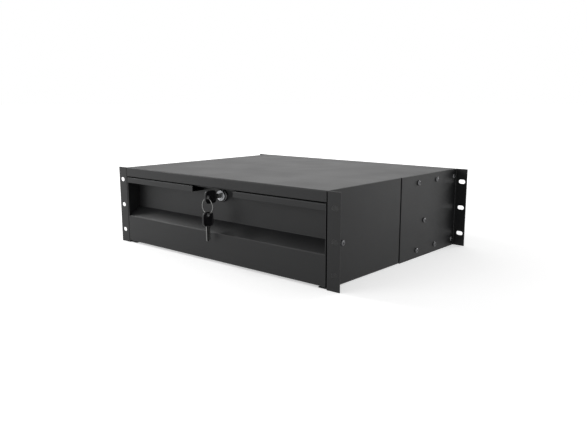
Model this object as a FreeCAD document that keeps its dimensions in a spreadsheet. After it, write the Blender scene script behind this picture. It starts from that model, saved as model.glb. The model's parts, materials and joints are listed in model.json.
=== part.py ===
"""Sliding rack drawer: a 3U drawer for a 19 inch rack, on ball-bearing slides, with a cam lock.

The frame: X to the right seen from the front, Y into the rack, Z up, in millimetres.
The origin is the middle of the front slot pattern, on the front face of the ears.
Every size is a cell of the sheet, and every piece takes its own sizes and place from those cells.
"""
import FreeCAD
import Part
import Sketcher
import math
import os

SIZES = [
    # the case
    ("body_width", 441.5, "width between the outer faces of the side panels"),
    ("ear_width", 20.55, "rack ear beyond a side panel: 482.6 over both ears, EIA-310"),
    ("case_height", 132.0, "height of the case, three rack units less clearance"),
    ("case_depth", 357.5, "front ear face to rear ear face"),
    ("side_gauge", 1.5, "sheet of the side panels"),
    ("bracket_gauge", 2.0, "sheet of the rear brackets"),
    ("cover_gauge", 1.2, "sheet of the top cover and the rear panel"),
    ("bend_radius", 1.0, "inner radius of a bend in the thick sheets"),
    ("panel_length", 178.0, "length of a side panel, from the ear face"),
    ("split_gap", 2.4, "gap between a side panel and the rear bracket"),
    ("flange_start", 3.0, "where the bottom flange starts behind the ear face"),
    ("flange_width", 16.5, "bottom flange, from the outer face inwards"),
    ("wall_start", 26.5, "where the cover's side walls start"),
    ("lip_height", 15.0, "front lip of the cover, from the top down"),
    ("lip_gap", 0.25, "gap between the cover's front part and a side panel"),
    ("rear_flange", 20.0, "side flange of the rear panel"),
    ("rear_inset", 1.2, "rear panel behind the ear face"),
    # the rack slots
    ("slot_edge", 8.75, "slot centre from the ear's tip: 465.1 between the slot columns, EIA-310"),
    ("slot_pitch", 44.45, "one rack unit, slot to slot"),
    ("slot_width", 7.0, "height of a slot"),
    ("front_slot", 10.5, "length of a front slot"),
    ("rear_slot", 12.0, "length of a rear slot"),
    # the screws
    ("screw_radius", 2.0, "shank radius of an M4 screw"),
    ("hole_radius", 2.2, "clearance hole for an M4 screw"),
    ("head_radius", 4.0, "pan head radius"),
    ("head_height", 2.6, "pan head height"),
    ("bracket_screw_back", 11.2, "last column of bracket screws in front of the rear ear face"),
    ("bracket_screw_pitch", 58.2, "between the columns of bracket screws"),
    ("bracket_screw_inset", 12.2, "rows of bracket screws from the top and from the base"),
    ("bracket_screw_length", 8.0, "shank of a bracket screw"),
    ("nut_flats", 7.0, "nut across flats"),
    ("nut_height", 3.2, "nut height"),
    ("nut_bore", 2.05, "bore radius of a nut"),
    # the slides
    ("slide_back_gap", 9.8, "slide to the rear panel's flange: 300 mm members"),
    ("slide_height", 45.0, "outer member"),
    ("slide_space", 12.7, "thickness of a closed slide"),
    ("slide_level", 58.2, "middle of the slide above the base"),
    ("slide_gauge", 1.2, "sheet of the slide members"),
    ("slide_bend", 0.5, "inner radius of a bend in a slide member"),
    ("outer_depth", 9.5, "depth of the outer member"),
    ("middle_depth", 10.8, "open edge of the middle member from the case wall"),
    ("outer_lip", 2.3, "turned edge of the outer member"),
    ("middle_lip", 1.9, "turned edge of the middle member"),
    ("outer_ball", 1.9, "radius of a ball of the outer row"),
    ("inner_ball", 1.5, "radius of a ball of the inner row"),
    ("outer_ball_line", 5.0, "outer ball row from the case wall"),
    ("inner_ball_line", 7.0, "inner ball row from the case wall"),
    ("race_depth", 0.4, "depth of a ball race"),
    ("ball_clearance", 0.15, "ball to race"),
    ("cage_clearance", 0.1, "ball to the hole in its cage"),
    ("cage_gauge", 0.6, "sheet of a ball cage"),
    ("cage_gap", 0.3, "cage to the members beside it"),
    ("cage_slack", 10.0, "a ball cage is this much shorter than half a slide"),
    ("cage_margin", 12.0, "end of a cage to its first ball"),
    ("outer_cage_depth", 7.8, "open edge of the outer cage from the case wall"),
    ("inner_cage_depth", 9.2, "open edge of the inner cage from the case wall"),
    ("slide_screw_front", 33.0, "front slide screw behind the ear face"),
    ("slide_screw_back", 251.0, "rear slide screw behind the ear face"),
    ("tray_screw_margin", 30.0, "end of the inner member to its first screw"),
    # the drawer
    ("tray_gauge", 1.2, "sheet of the tray"),
    ("tray_bend", 1.0, "inner radius of a bend in the tray"),
    ("tray_bottom", 7.0, "underside of the tray above the base"),
    ("tray_headroom", 28.0, "top of the tray's sides below the top of the case"),
    ("tray_front_drop", 14.5, "top of the tray's front wall below the lock axis"),
    ("tray_back_gap", 15.4, "tray to the rear panel"),
    ("tray_flange", 8.0, "turned-in top edge of the tray"),
    ("front_gap", 0.85, "drawer front to a side panel"),
    ("front_gauge", 1.2, "sheet of the drawer front"),
    ("front_bend", 1.0, "inner radius of a bend in the drawer front"),
    ("front_bottom", 3.0, "lower edge of the drawer front above the base"),
    ("lip_clearance", 1.5, "drawer front below the cover's lip"),
    ("lower_panel_top", 47.3, "top of the lower panel above the base"),
    ("recess_floor", 62.5, "back of the recess floor above the base"),
    ("recess_depth", 22.5, "depth of the finger recess"),
    ("strip_height", 9.5, "pull strip above the recess"),
    ("notch_width", 91.0, "cut-out of the strip in front of the lock"),
    ("notch_depth", 6.0, "cut-out of the strip's top"),
    ("back_flange", 30.5, "rear flange of the lower panel"),
    ("front_screw_level", 20.0, "front screws above the base"),
    ("front_screw_inner", 60.0, "inner front screws from the middle"),
    ("front_screw_edge", 40.0, "outer front screws from the tray's side"),
    ("front_screw_length", 6.2, "shank of a front screw"),
    # the lock
    ("lock_drop", 29.5, "lock axis below the top of the case"),
    ("lock_head_radius", 9.0, "lock head"),
    ("lock_head_length", 6.5, "lock head in front of the recess panel"),
    ("collar_radius", 10.7, "collar behind the lock head"),
    ("collar_height", 3.4, "collar behind the lock head"),
    ("lock_face_radius", 7.6, "front face of the lock head"),
    ("lock_body_radius", 7.9, "lock body behind the panel"),
    ("lock_hole_radius", 8.1, "hole for the lock in the recess panel"),
    ("lock_body_length", 17.5, "lock body behind the panel's front face"),
    ("lock_nut_flats", 20.0, "lock nut across flats"),
    ("lock_nut_height", 4.0, "lock nut"),
    ("plug_radius", 5.5, "lock plug"),
    ("plug_clearance", 0.15, "lock plug in its body"),
    ("plug_reach", 0.4, "plug behind the end of the body"),
    ("keyway_width", 2.3, "keyway in the plug"),
    ("keyway_height", 7.6, "keyway in the plug"),
    ("keyway_depth", 20.0, "keyway in the plug"),
    ("tail_size", 6.0, "square tail of the plug"),
    ("tail_clearance", 0.1, "tail in the cam's square hole"),
    ("cam_gauge", 2.0, "cam plate"),
    ("cam_radius", 7.5, "round ends of the cam"),
    ("cam_length", 17.0, "between the centres of the cam's ends"),
    ("cam_screw_radius", 1.5, "cam screw shank"),
    ("cam_screw_length", 7.0, "cam screw shank"),
    ("strike_gauge", 1.5, "sheet of the strike"),
    ("strike_width", 30.0, "strike"),
    ("strike_foot", 16.0, "strike's foot under the cover"),
    ("strike_drop", 12.8, "strike below the cover"),
    ("strike_gap", 0.4, "strike to cam"),
    # the keys
    ("key_gauge", 1.9, "key blade"),
    ("blade_height", 7.0, "key blade"),
    ("blade_length", 24.0, "key blade outside its bow"),
    ("blade_root", 5.0, "key blade inside its bow"),
    ("bow_length", 21.5, "key bow"),
    ("bow_height", 19.5, "key bow"),
    ("bow_gauge", 3.2, "key bow"),
    ("bow_round", 6.0, "corners of the key bow"),
    ("bow_hole", 2.9, "ring hole of the key bow"),
    ("bow_hole_edge", 4.5, "ring hole from the end of the bow"),
    ("bow_stand_off", 8.5, "key bow in front of the lock face"),
    ("key_play", 0.05, "key blade in its bow"),
    ("ring_radius", 11.6, "key ring, to the middle of its wire"),
    ("ring_wire", 0.8, "half the width of the key ring's wire"),
    ("ring_gap", 0.3, "key ring to the edge of a ring hole"),
]

BALLS_PER_ROW = 5
BRACKET_SCREW_COLUMNS = 3
HOLE_SIDES = 6
HEAD_SIDES = 8
CORNER = 1 / math.cos(math.pi / HOLE_SIDES)
TRAY_SCREWS_PER_SIDE = 3
RACK_SLOTS_PER_EAR = 3
KEY_CUTS = (1.0, 1.7, 0.8, 1.4)

doc = FreeCAD.newDocument("sliding_rack_drawer")
sheet = doc.addObject("Spreadsheet::Sheet", "Sizes")
sub_parts = []


class Dim:
    """A size that keeps its number and the sheet expression that gives it."""

    def __init__(self, value, text):
        self.value = float(value)
        self.text = text

    def __add__(self, other):
        other = dim(other)
        return Dim(self.value + other.value, f"({self.text} + {other.text})")

    def __sub__(self, other):
        other = dim(other)
        return Dim(self.value - other.value, f"({self.text} - {other.text})")

    def __mul__(self, other):
        other = dim(other)
        return Dim(self.value * other.value, f"({self.text} * {other.text})")

    def __truediv__(self, other):
        other = dim(other)
        return Dim(self.value / other.value, f"({self.text} / {other.text})")

    def __neg__(self):
        return Dim(-self.value, f"(-1 * {self.text})")

    def __radd__(self, other):
        return dim(other) + self

    def __rsub__(self, other):
        return dim(other) - self

    def __rmul__(self, other):
        return dim(other) * self

    def root(self):
        """The square root."""
        return Dim(math.sqrt(self.value), f"sqrt({self.text})")


def dim(number):
    """A Dim as it is, or a plain number as one."""
    if isinstance(number, Dim):
        return number
    return Dim(number, f"{number:g}")


def fill_sheet():
    """Write the sizes into the sheet and return them by name."""
    sizes = {}
    for row, (alias, value, note) in enumerate(SIZES, start=1):
        sheet.set(f"A{row}", alias)
        sheet.set(f"B{row}", f"{value:g}")
        sheet.setAlias(f"B{row}", alias)
        sheet.set(f"C{row}", note)
        sizes[alias] = Dim(value, f"Sizes.{alias}")
    doc.recompute()
    return sizes


S = fill_sheet()

# places that several pieces share
BASE = -(S["case_height"] / 2)
TOP = S["case_height"] / 2
SIDE = S["body_width"] / 2
WALL = SIDE - S["side_gauge"]
WALL_IN = WALL - S["cover_gauge"]
UNDER_COVER = TOP - S["cover_gauge"]
EAR_TIP = SIDE + S["ear_width"]
SLOT_X = EAR_TIP - S["slot_edge"]
BRACKET_FRONT = S["panel_length"] + S["split_gap"]
REAR_FACE = S["case_depth"] - S["rear_inset"]
SLIDE_Z = BASE + S["slide_level"]
SLIDE_FRONT = S["wall_start"]
SLIDE_LENGTH = REAR_FACE - S["rear_flange"] - S["slide_back_gap"] - SLIDE_FRONT
CAGE_LENGTH = SLIDE_LENGTH / 2 - S["cage_slack"]
TRAY_SIDE = WALL_IN - S["slide_space"]
FRONT_HALF = WALL - S["front_gap"]
FRONT_BACK = S["recess_depth"] + S["front_gauge"]
FRONT_TOP = TOP - S["lip_height"] - S["lip_clearance"]
TRAY_BACK = REAR_FACE - S["cover_gauge"] - S["tray_back_gap"]
LOCK_Z = TOP - S["lock_drop"]
LOCK_FACE = S["recess_depth"] - S["lock_head_length"]
COLLAR_FACE = S["recess_depth"] - S["collar_height"]
BODY_END = S["recess_depth"] + S["lock_body_length"]
CAM_FRONT = BODY_END + S["plug_reach"]
CAM_BACK = CAM_FRONT + S["cam_gauge"]
BOW_END = LOCK_FACE - S["bow_stand_off"]
RING_Y = BOW_END - S["bow_length"] + S["bow_hole_edge"]
RING_SEAT = S["bow_hole"] - S["ring_wire"] - S["ring_gap"]
RING_TOP = LOCK_Z - RING_SEAT
RING_BOTTOM = RING_TOP - 2 * S["ring_radius"]
SPARE_HOLE = RING_BOTTOM - RING_SEAT


# ---------------------------------------------------------------- sketches and features

def bind(thing, name, size):
    """Set one property of an object from the sheet."""
    thing.setExpression(name, size.text)


def new_body(label):
    """A body with its own label."""
    body = doc.addObject("PartDesign::Body", label)
    body.Label = label
    return body


def plane_of(body, role):
    """One of the body's own origin planes."""
    for feature in body.Origin.OriginFeatures:
        if feature.Role == role:
            return feature
    raise ValueError(role)


def new_sketch(body, role, start):
    """A sketch on an origin plane of the body, moved to start along the plane's axis."""
    sketch = body.newObject("Sketcher::SketchObject", f"{body.Label}_sketch")
    sketch.AttachmentSupport = [(plane_of(body, role), "")]
    sketch.MapMode = "FlatFace"
    offset = -start if role == "XZ_Plane" else start
    bind(sketch, "AttachmentOffset.Base.z", offset)
    return sketch


def pin(sketch, geometry, point, x, y):
    """Hold one point of a sketch at x and y."""
    for kind, size in (("DistanceX", x), ("DistanceY", y)):
        index = sketch.addConstraint(Sketcher.Constraint(kind, geometry, point, size.value))
        bind(sketch, f"Constraints[{index}]", size)


def vector(point):
    """The numbers of a pair of Dims."""
    return FreeCAD.Vector(point[0].value, point[1].value, 0)


def draw_outline(sketch, points):
    """A closed outline of straight lines."""
    points = [(dim(x), dim(y)) for x, y in points]
    first = sketch.GeometryCount
    count = len(points)
    for index in range(count):
        line = Part.LineSegment(vector(points[index]), vector(points[(index + 1) % count]))
        sketch.addGeometry(line, False)
    for index in range(count):
        after = first + (index + 1) % count
        sketch.addConstraint(Sketcher.Constraint("Coincident", first + index, 2, after, 1))
    for index, (x, y) in enumerate(points):
        pin(sketch, first + index, 1, x, y)


def draw_rectangle(sketch, low, high):
    """A rectangle between two corners."""
    draw_outline(sketch, [low, (high[0], low[1]), high, (low[0], high[1])])


def draw_circle(sketch, x, y, radius):
    """A circle."""
    x, y = dim(x), dim(y)
    circle = Part.Circle(FreeCAD.Vector(x.value, y.value, 0), FreeCAD.Vector(0, 0, 1), radius.value)
    index = sketch.addGeometry(circle, False)
    pin(sketch, index, 3, x, y)
    limit = sketch.addConstraint(Sketcher.Constraint("Radius", index, radius.value))
    bind(sketch, f"Constraints[{limit}]", radius)


def draw_polygon(sketch, x, y, radius, sides):
    """A regular polygon with a flat side on each axis, radius being that of its corners."""
    x, y = dim(x), dim(y)
    angles = [2 * math.pi * (index + 0.5) / sides for index in range(sides)]
    draw_outline(sketch, [
        (x + radius * math.cos(angle), y + radius * math.sin(angle)) for angle in angles])


def draw_obround(sketch, x, y, reach, radius):
    """A slot along the sketch's first axis: two lines and two half circles, reach apart."""
    x, y = dim(x), dim(y)
    left, right = x - reach / 2, x + reach / 2
    low, high = y - radius, y + radius
    first = sketch.GeometryCount
    sketch.addGeometry(Part.LineSegment(vector((left, low)), vector((right, low))), False)
    sketch.addGeometry(Part.LineSegment(vector((right, high)), vector((left, high))), False)
    turn = math.pi / 2
    for centre, start in ((right, -turn), (left, turn)):
        circle = Part.Circle(vector((centre, y)), FreeCAD.Vector(0, 0, 1), radius.value)
        sketch.addGeometry(Part.ArcOfCircle(circle, start, start + math.pi), False)
    joins = ((0, 2, 2, 1), (2, 2, 1, 1), (1, 2, 3, 1), (3, 2, 0, 1))
    for one, end, other, start in joins:
        sketch.addConstraint(Sketcher.Constraint("Coincident", first + one, end, first + other, start))
    pin(sketch, first, 1, left, low)
    pin(sketch, first, 2, right, low)
    pin(sketch, first + 1, 1, right, high)
    pin(sketch, first + 1, 2, left, high)
    for arc, centre in ((2, right), (3, left)):
        index = sketch.addConstraint(Sketcher.Constraint("DistanceX", first + arc, 3, centre.value))
        bind(sketch, f"Constraints[{index}]", centre)


def add_pad(body, role, start, length, draw):
    """Pad what draw puts in a sketch, from start along the positive axis."""
    sketch = new_sketch(body, role, dim(start))
    draw(sketch)
    pad = body.newObject("PartDesign::Pad", f"{body.Label}_pad")
    pad.Profile = sketch
    pad.Reversed = role == "XZ_Plane"
    bind(pad, "Length", dim(length))
    doc.recompute()
    return pad


def add_pocket(body, role, start, length, draw):
    """Cut what draw puts in a sketch, from start along the positive axis."""
    before = body.Shape.Volume
    sketch = new_sketch(body, role, dim(start))
    draw(sketch)
    pocket = body.newObject("PartDesign::Pocket", f"{body.Label}_pocket")
    pocket.Profile = sketch
    pocket.Reversed = role != "XZ_Plane"
    bind(pocket, "Length", dim(length))
    doc.recompute()
    if not body.Shape.Volume < before - 1e-6:
        raise RuntimeError(f"{body.Label}: a pocket cuts nothing")
    return pocket


def add_revolution(body, role, start, axis, draw):
    """Turn what draw puts in a sketch about one of the sketch's axes."""
    sketch = new_sketch(body, role, dim(start))
    draw(sketch)
    turned = body.newObject("PartDesign::Revolution", f"{body.Label}_revolution")
    turned.Profile = sketch
    turned.ReferenceAxis = (sketch, [axis])
    turned.Angle = 360.0
    doc.recompute()
    return turned


def edges_along(shape, axis, spots):
    """The names of the straight edges along an axis that pass through given spots."""
    across = [letter for letter in "xyz" if letter != axis]
    names = []
    for number, edge in enumerate(shape.Edges, start=1):
        if not isinstance(edge.Curve, Part.Line):
            continue
        first, last = edge.Vertexes[0].Point, edge.Vertexes[-1].Point
        if abs(getattr(first, axis) - getattr(last, axis)) < 1e-4:
            continue
        for spot in spots:
            gaps = [abs(getattr(end, letter) - size.value)
                    for end in (first, last) for letter, size in zip(across, spot)]
            if max(gaps) < 1e-4:
                names.append(f"Edge{number}")
                break
    return names


def add_fillet(body, axis, spots, radius):
    """Round the edges along an axis that pass through given spots."""
    spots = [(dim(a), dim(b)) for a, b in spots]
    names = edges_along(body.Shape, axis, spots)
    if len(names) < len(spots):
        raise RuntimeError(f"{body.Label}: {len(spots) - len(names)} edges not found")
    base = body.Tip
    fillet = body.newObject("PartDesign::Fillet", f"{body.Label}_fillet")
    fillet.Base = (base, names)
    bind(fillet, "Radius", radius)
    doc.recompute()
    return fillet


# ---------------------------------------------------------------- folded sheet

def direction(start, end):
    """Unit direction of a run of a fold; runs along an axis stay plain numbers."""
    run, rise = end[0] - start[0], end[1] - start[1]
    if abs(run.value) < 1e-9:
        return dim(0), dim(math.copysign(1, rise.value))
    if abs(rise.value) < 1e-9:
        return dim(math.copysign(1, run.value)), dim(0)
    length = (run * run + rise * rise).root()
    return run / length, rise / length


def offset_corner(before, after):
    """Where a corner lies on the sheet's other face, in gauges to the right of the path."""
    share = dim(1) / (1 + before[0] * after[0] + before[1] * after[1])
    return (before[1] + after[1]) * share, -((before[0] + after[0]) * share)


def fold_outline(points, gauge):
    """The outline of a sheet that follows points, its other face a gauge to the right.

    Returns the outline, and its corners at the outside and at the inside of the bends.
    """
    points = [(dim(x), dim(y)) for x, y in points]
    runs = [direction(a, b) for a, b in zip(points, points[1:])]
    other, outside, inside = [], [], []
    for index, (x, y) in enumerate(points):
        before = runs[max(index - 1, 0)]
        after = runs[min(index, len(runs) - 1)]
        shift = offset_corner(before, after)
        partner = (x + gauge * shift[0], y + gauge * shift[1])
        other.append(partner)
        if 0 < index < len(points) - 1:
            turn = before[0].value * after[1].value - before[1].value * after[0].value
            outside.append((x, y) if turn < 0 else partner)
            inside.append(partner if turn < 0 else (x, y))
    return points + other[::-1], outside, inside


AXIS_OF = {"XY_Plane": "z", "XZ_Plane": "y", "YZ_Plane": "x"}


def add_folded_sheet(body, role, start, length, points, gauge, bend):
    """Pad a folded sheet and round its bends."""
    outline, outside, inside = fold_outline(points, gauge)
    add_pad(body, role, start, length, lambda sketch: draw_outline(sketch, outline))
    add_fillet(body, AXIS_OF[role], outside, bend + gauge)
    add_fillet(body, AXIS_OF[role], inside, bend)


# ---------------------------------------------------------------- sub-parts as files

def keep(thing):
    """Mark an object as a sub-part that gets its own file."""
    sub_parts.append(thing)
    return thing


def mirrored(source, label):
    """The same piece on the left."""
    mirror = doc.addObject("Part::Mirroring", label)
    mirror.Label = label
    mirror.Source = source
    mirror.Normal = FreeCAD.Vector(1, 0, 0)
    return keep(mirror)


def keep_pair(right, name):
    """Keep a right-hand piece and its mirror image."""
    right.Label = f"{name}_right"
    keep(right)
    mirrored(right, f"{name}_left")


def group_of(master, label, spots, turn=0.0):
    """Copies of a master at spots, turned about Z, as one group of separate solids."""
    links = []
    for x, y, z in spots:
        link = doc.addObject("App::Link", f"{label}_copy")
        link.LinkedObject = master
        link.LinkPlacement = FreeCAD.Placement(
            FreeCAD.Vector(), FreeCAD.Rotation(FreeCAD.Vector(0, 0, 1), turn))
        for name, size in (("x", x), ("y", y), ("z", z)):
            bind(link, f"LinkPlacement.Base.{name}", dim(size))
        links.append(link)
    group = doc.addObject("Part::Compound", label)
    group.Label = label
    group.Links = links
    return group


# ---------------------------------------------------------------- fasteners

def add_bevel(body, axis, levels, size):
    """Cut back the edges that lie across an axis at given levels."""
    levels = [dim(level).value for level in levels]
    names = []
    for number, edge in enumerate(body.Shape.Edges, 1):
        places = [getattr(vertex.Point, axis) for vertex in edge.Vertexes]
        if any(max(abs(place - level) for place in places) < 1e-4 for level in levels):
            names.append(f"Edge{number}")
    base = body.Tip
    bevel = body.newObject("PartDesign::Chamfer", f"{body.Label}_bevel")
    bevel.Base = (base, names)
    bind(bevel, "Size", size)
    doc.recompute()


def pan_screw(label, shank, length, head, height):
    """A pan head screw along X: seat at the origin, head towards +X, with many-sided faces."""
    body = new_body(label)
    add_pad(body, "YZ_Plane", 0, height,
            lambda sketch: draw_polygon(sketch, 0, 0, head, HEAD_SIDES))
    add_bevel(body, "x", [height], height * 0.45)
    add_pad(body, "YZ_Plane", -length, length,
            lambda sketch: draw_polygon(sketch, 0, 0, shank, HOLE_SIDES))
    return body


def hex_nut(label, flats, height, bore):
    """A nut along X: seat at the origin, nut towards -X."""
    prism = doc.addObject("Part::Prism", f"{label}_blank")
    prism.Polygon = 6
    bind(prism, "Circumradius", flats * (1 / math.sqrt(3)))
    bind(prism, "Height", height)
    hole = doc.addObject("Part::Prism", f"{label}_hole")
    hole.Polygon = HOLE_SIDES
    bind(hole, "Circumradius", bore * CORNER)
    bind(hole, "Height", height)
    nut = doc.addObject("Part::Cut", label)
    nut.Base = prism
    nut.Tool = hole
    for piece in (prism, hole):
        piece.Placement = FreeCAD.Placement(
            FreeCAD.Vector(), FreeCAD.Rotation(FreeCAD.Vector(0, 1, 0), -90))
    return nut


def bracket_screw_spots():
    """(y, z) of the screws that hold a rear bracket to the cover."""
    last = S["case_depth"] - S["bracket_screw_back"]
    rise = TOP - S["bracket_screw_inset"]
    return [(last - column * S["bracket_screw_pitch"], side * rise)
            for column in reversed(range(BRACKET_SCREW_COLUMNS)) for side in (-1, 1)]


def slide_screw_spots():
    """(y, z) of the screws that hold a slide's outer member to the case."""
    return [(S["slide_screw_front"], SLIDE_Z), (S["slide_screw_back"], SLIDE_Z)]


def tray_screw_spots():
    """(y, z) of the screws that hold the tray to a slide's inner member."""
    first = SLIDE_FRONT + S["tray_screw_margin"]
    step = (SLIDE_LENGTH - 2 * S["tray_screw_margin"]) / (TRAY_SCREWS_PER_SIDE - 1)
    return [(first + index * step, SLIDE_Z) for index in range(TRAY_SCREWS_PER_SIDE)]


def front_screw_spots():
    """(x, z) of the screws that hold the drawer front to the tray."""
    level = BASE + S["front_screw_level"]
    reaches = (TRAY_SIDE - S["front_screw_edge"], S["front_screw_inner"])
    return [(side * reach, level) for reach in reaches for side in (-1, 1)]


def drill(body, role, start, length, spots, radius):
    """Cut the same round hole at several spots."""
    def circles(sketch):
        for a, b in spots:
            draw_circle(sketch, a, b, radius)
    add_pocket(body, role, start, length, circles)


def punch(body, role, start, length, spots, radius):
    """Cut the same hole at several spots, six-sided since a screw or a ball fills it."""
    def holes(sketch):
        for a, b in spots:
            draw_polygon(sketch, a, b, radius * CORNER, HOLE_SIDES)
    add_pocket(body, role, start, length, holes)


def cut_rack_slots(body, start, gauge, length):
    """Cut the three rack slots of an ear."""
    radius = S["slot_width"] / 2

    def slots(sketch):
        for row in range(RACK_SLOTS_PER_EAR):
            level = S["slot_pitch"] * (row - (RACK_SLOTS_PER_EAR - 1) / 2)
            draw_obround(sketch, SLOT_X, level, length - 2 * radius, radius)

    add_pocket(body, "XZ_Plane", start - gauge, 3 * gauge, slots)


# ---------------------------------------------------------------- the case

def make_top_cover():
    """The cover: top, two side walls behind the drawer front, and a lip over its front."""
    body = new_body("top_cover")
    gauge = S["cover_gauge"]
    bend = S["bend_radius"] / 2
    wall_foot = BASE + S["side_gauge"] + S["bend_radius"]
    walls = [(-WALL, wall_foot), (-WALL, TOP), (WALL, TOP), (WALL, wall_foot)]
    add_folded_sheet(body, "XZ_Plane", S["wall_start"], S["case_depth"] - S["wall_start"],
                     walls, gauge, bend)
    lip_end = WALL - S["lip_gap"]
    hood = [(0, TOP - S["lip_height"]), (0, TOP), (S["wall_start"], TOP)]
    add_folded_sheet(body, "YZ_Plane", -lip_end, 2 * lip_end, hood, gauge, bend)
    spots = bracket_screw_spots() + slide_screw_spots()
    for wall in (-WALL, WALL_IN):
        punch(body, "YZ_Plane", wall - gauge, 3 * gauge, spots, S["hole_radius"])
    keep(body)


def make_side_panels():
    """A side panel: the front ear, the side and the bottom flange, one folded sheet."""
    body = new_body("side_panel")
    gauge = S["side_gauge"]
    bend = S["bend_radius"]
    side = [(SIDE, TOP), (SIDE, BASE), (SIDE - S["flange_width"], BASE)]
    add_folded_sheet(body, "XZ_Plane", S["flange_start"], S["panel_length"] - S["flange_start"],
                     side, gauge, bend)
    ear = [(EAR_TIP, 0), (WALL, 0), (WALL, S["flange_start"])]
    add_folded_sheet(body, "XY_Plane", BASE, S["case_height"], ear, gauge, bend)
    cut_rack_slots(body, dim(0), gauge, S["front_slot"])
    punch(body, "YZ_Plane", WALL - gauge, 3 * gauge, slide_screw_spots()[:1], S["hole_radius"])
    keep_pair(body, "side_panel")


def make_rear_brackets():
    """A rear bracket: the rear half of the side and the rear ear."""
    body = new_body("rear_bracket")
    gauge = S["bracket_gauge"]
    path = [(WALL, BRACKET_FRONT), (WALL, S["case_depth"]), (EAR_TIP, S["case_depth"])]
    add_folded_sheet(body, "XY_Plane", BASE, S["case_height"], path, gauge, S["bend_radius"])
    cut_rack_slots(body, S["case_depth"] - gauge, gauge, S["rear_slot"])
    spots = bracket_screw_spots() + slide_screw_spots()[1:]
    punch(body, "YZ_Plane", WALL - gauge, 3 * gauge, spots, S["hole_radius"])
    keep_pair(body, "rear_bracket")


def make_rear_panel():
    """The rear panel: closes the back between the cover's walls, with a flange at each side."""
    body = new_body("rear_panel")
    gauge = S["cover_gauge"]
    start = REAR_FACE - S["rear_flange"]
    path = [(-WALL_IN, start), (-WALL_IN, REAR_FACE), (WALL_IN, REAR_FACE), (WALL_IN, start)]
    foot = BASE + S["side_gauge"]
    rim = UNDER_COVER - S["bend_radius"] / 2
    add_folded_sheet(body, "XY_Plane", foot, rim - foot, path, gauge, S["bend_radius"])
    spots = bracket_screw_spots()[4:]
    for wall in (-WALL_IN, WALL_IN - gauge):
        punch(body, "YZ_Plane", wall - gauge, 3 * gauge, spots, S["hole_radius"])
    keep(body)


def make_lock_strike():
    """The strike under the cover that the lock's cam turns up behind."""
    body = new_body("lock_strike")
    gauge = S["strike_gauge"]
    back = CAM_FRONT - S["strike_gap"]
    path = [(back - S["strike_foot"], UNDER_COVER), (back, UNDER_COVER),
            (back, UNDER_COVER - S["strike_drop"])]
    half = S["strike_width"] / 2
    add_folded_sheet(body, "YZ_Plane", -half, 2 * half, path, gauge, S["bend_radius"])
    keep(body)


def make_case_fasteners():
    """The bracket screws and nuts and the slide screws, a group of each at each side."""
    head_seat = WALL + S["bracket_gauge"]
    screw = pan_screw("bracket_screw", S["screw_radius"], S["bracket_screw_length"],
                      S["head_radius"], S["head_height"])
    spots = bracket_screw_spots()
    group = group_of(screw, "bracket_screws", [(head_seat, y, z) for y, z in spots])
    keep_pair(group, "bracket_screws")
    nut = hex_nut("bracket_nut", S["nut_flats"], S["nut_height"], S["nut_bore"])
    seats = [WALL_IN] * 4 + [WALL_IN - S["cover_gauge"]] * 2
    group = group_of(nut, "bracket_nuts", [(x, y, z) for x, (y, z) in zip(seats, spots)])
    keep_pair(group, "bracket_nuts")
    length = S["side_gauge"] + S["cover_gauge"] + S["slide_gauge"]
    screw = pan_screw("slide_screw", S["screw_radius"], length, S["head_radius"], S["head_height"])
    seats = [SIDE, head_seat]
    group = group_of(screw, "slide_screws",
                     [(x, y, z) for x, (y, z) in zip(seats, slide_screw_spots())])
    keep_pair(group, "slide_screws")


# ---------------------------------------------------------------- the slides

def across(depth):
    """X at a depth from the right-hand case wall towards the tray."""
    return WALL_IN - depth


def ball_lines():
    """Depth, height and radius of the outer and the inner ball row, and the faces they run on."""
    bite = S["ball_clearance"] - S["race_depth"]
    outer_face = S["slide_height"] / 2 - S["slide_gauge"]
    outer_line = outer_face - bite - S["outer_ball"]
    middle_face = outer_line - S["outer_ball"] - bite
    inner_line = middle_face - S["slide_gauge"] - bite - S["inner_ball"]
    inner_face = inner_line - S["inner_ball"] - bite
    outer = (S["outer_ball_line"], outer_line, S["outer_ball"])
    inner = (S["inner_ball_line"], inner_line, S["inner_ball"])
    return outer, inner, middle_face, inner_face


OUTER_ROW, INNER_ROW, MIDDLE_FACE, INNER_FACE = ball_lines()
OUTER_CAGE_WEB = S["slide_gauge"] + S["cage_gap"]
MIDDLE_WEB = OUTER_CAGE_WEB + S["cage_gauge"] + S["cage_gap"]
INNER_CAGE_WEB = MIDDLE_WEB + S["slide_gauge"] + S["cage_gap"]
INNER_EDGE = INNER_CAGE_WEB + S["cage_gauge"] + S["cage_gap"]
CAGE_FRONT = SLIDE_FRONT + (SLIDE_LENGTH - CAGE_LENGTH) / 2


def cut_races(body, rows):
    """Cut the ball races of one or two rows along a slide member."""
    def races(sketch):
        for depth, rise, ball in rows:
            for side in (-1, 1):
                draw_circle(sketch, across(depth), SLIDE_Z + side * rise, ball + S["ball_clearance"])
    length = SLIDE_LENGTH
    add_pocket(body, "XZ_Plane", SLIDE_FRONT - 1, length + 2, races)


def make_slide_member(label, corners, rows, holes):
    """A folded slide member with its races and screw holes; corners are (depth, height) pairs."""
    body = new_body(label)
    path = [(across(depth), SLIDE_Z + rise) for depth, rise in corners]
    add_folded_sheet(body, "XZ_Plane", SLIDE_FRONT, SLIDE_LENGTH, path,
                     S["slide_gauge"], S["slide_bend"])
    cut_races(body, rows)
    if holes:
        start, spots = holes
        punch(body, "YZ_Plane", start, 3 * S["slide_gauge"], spots, S["hole_radius"])
    keep_pair(body, label)


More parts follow.
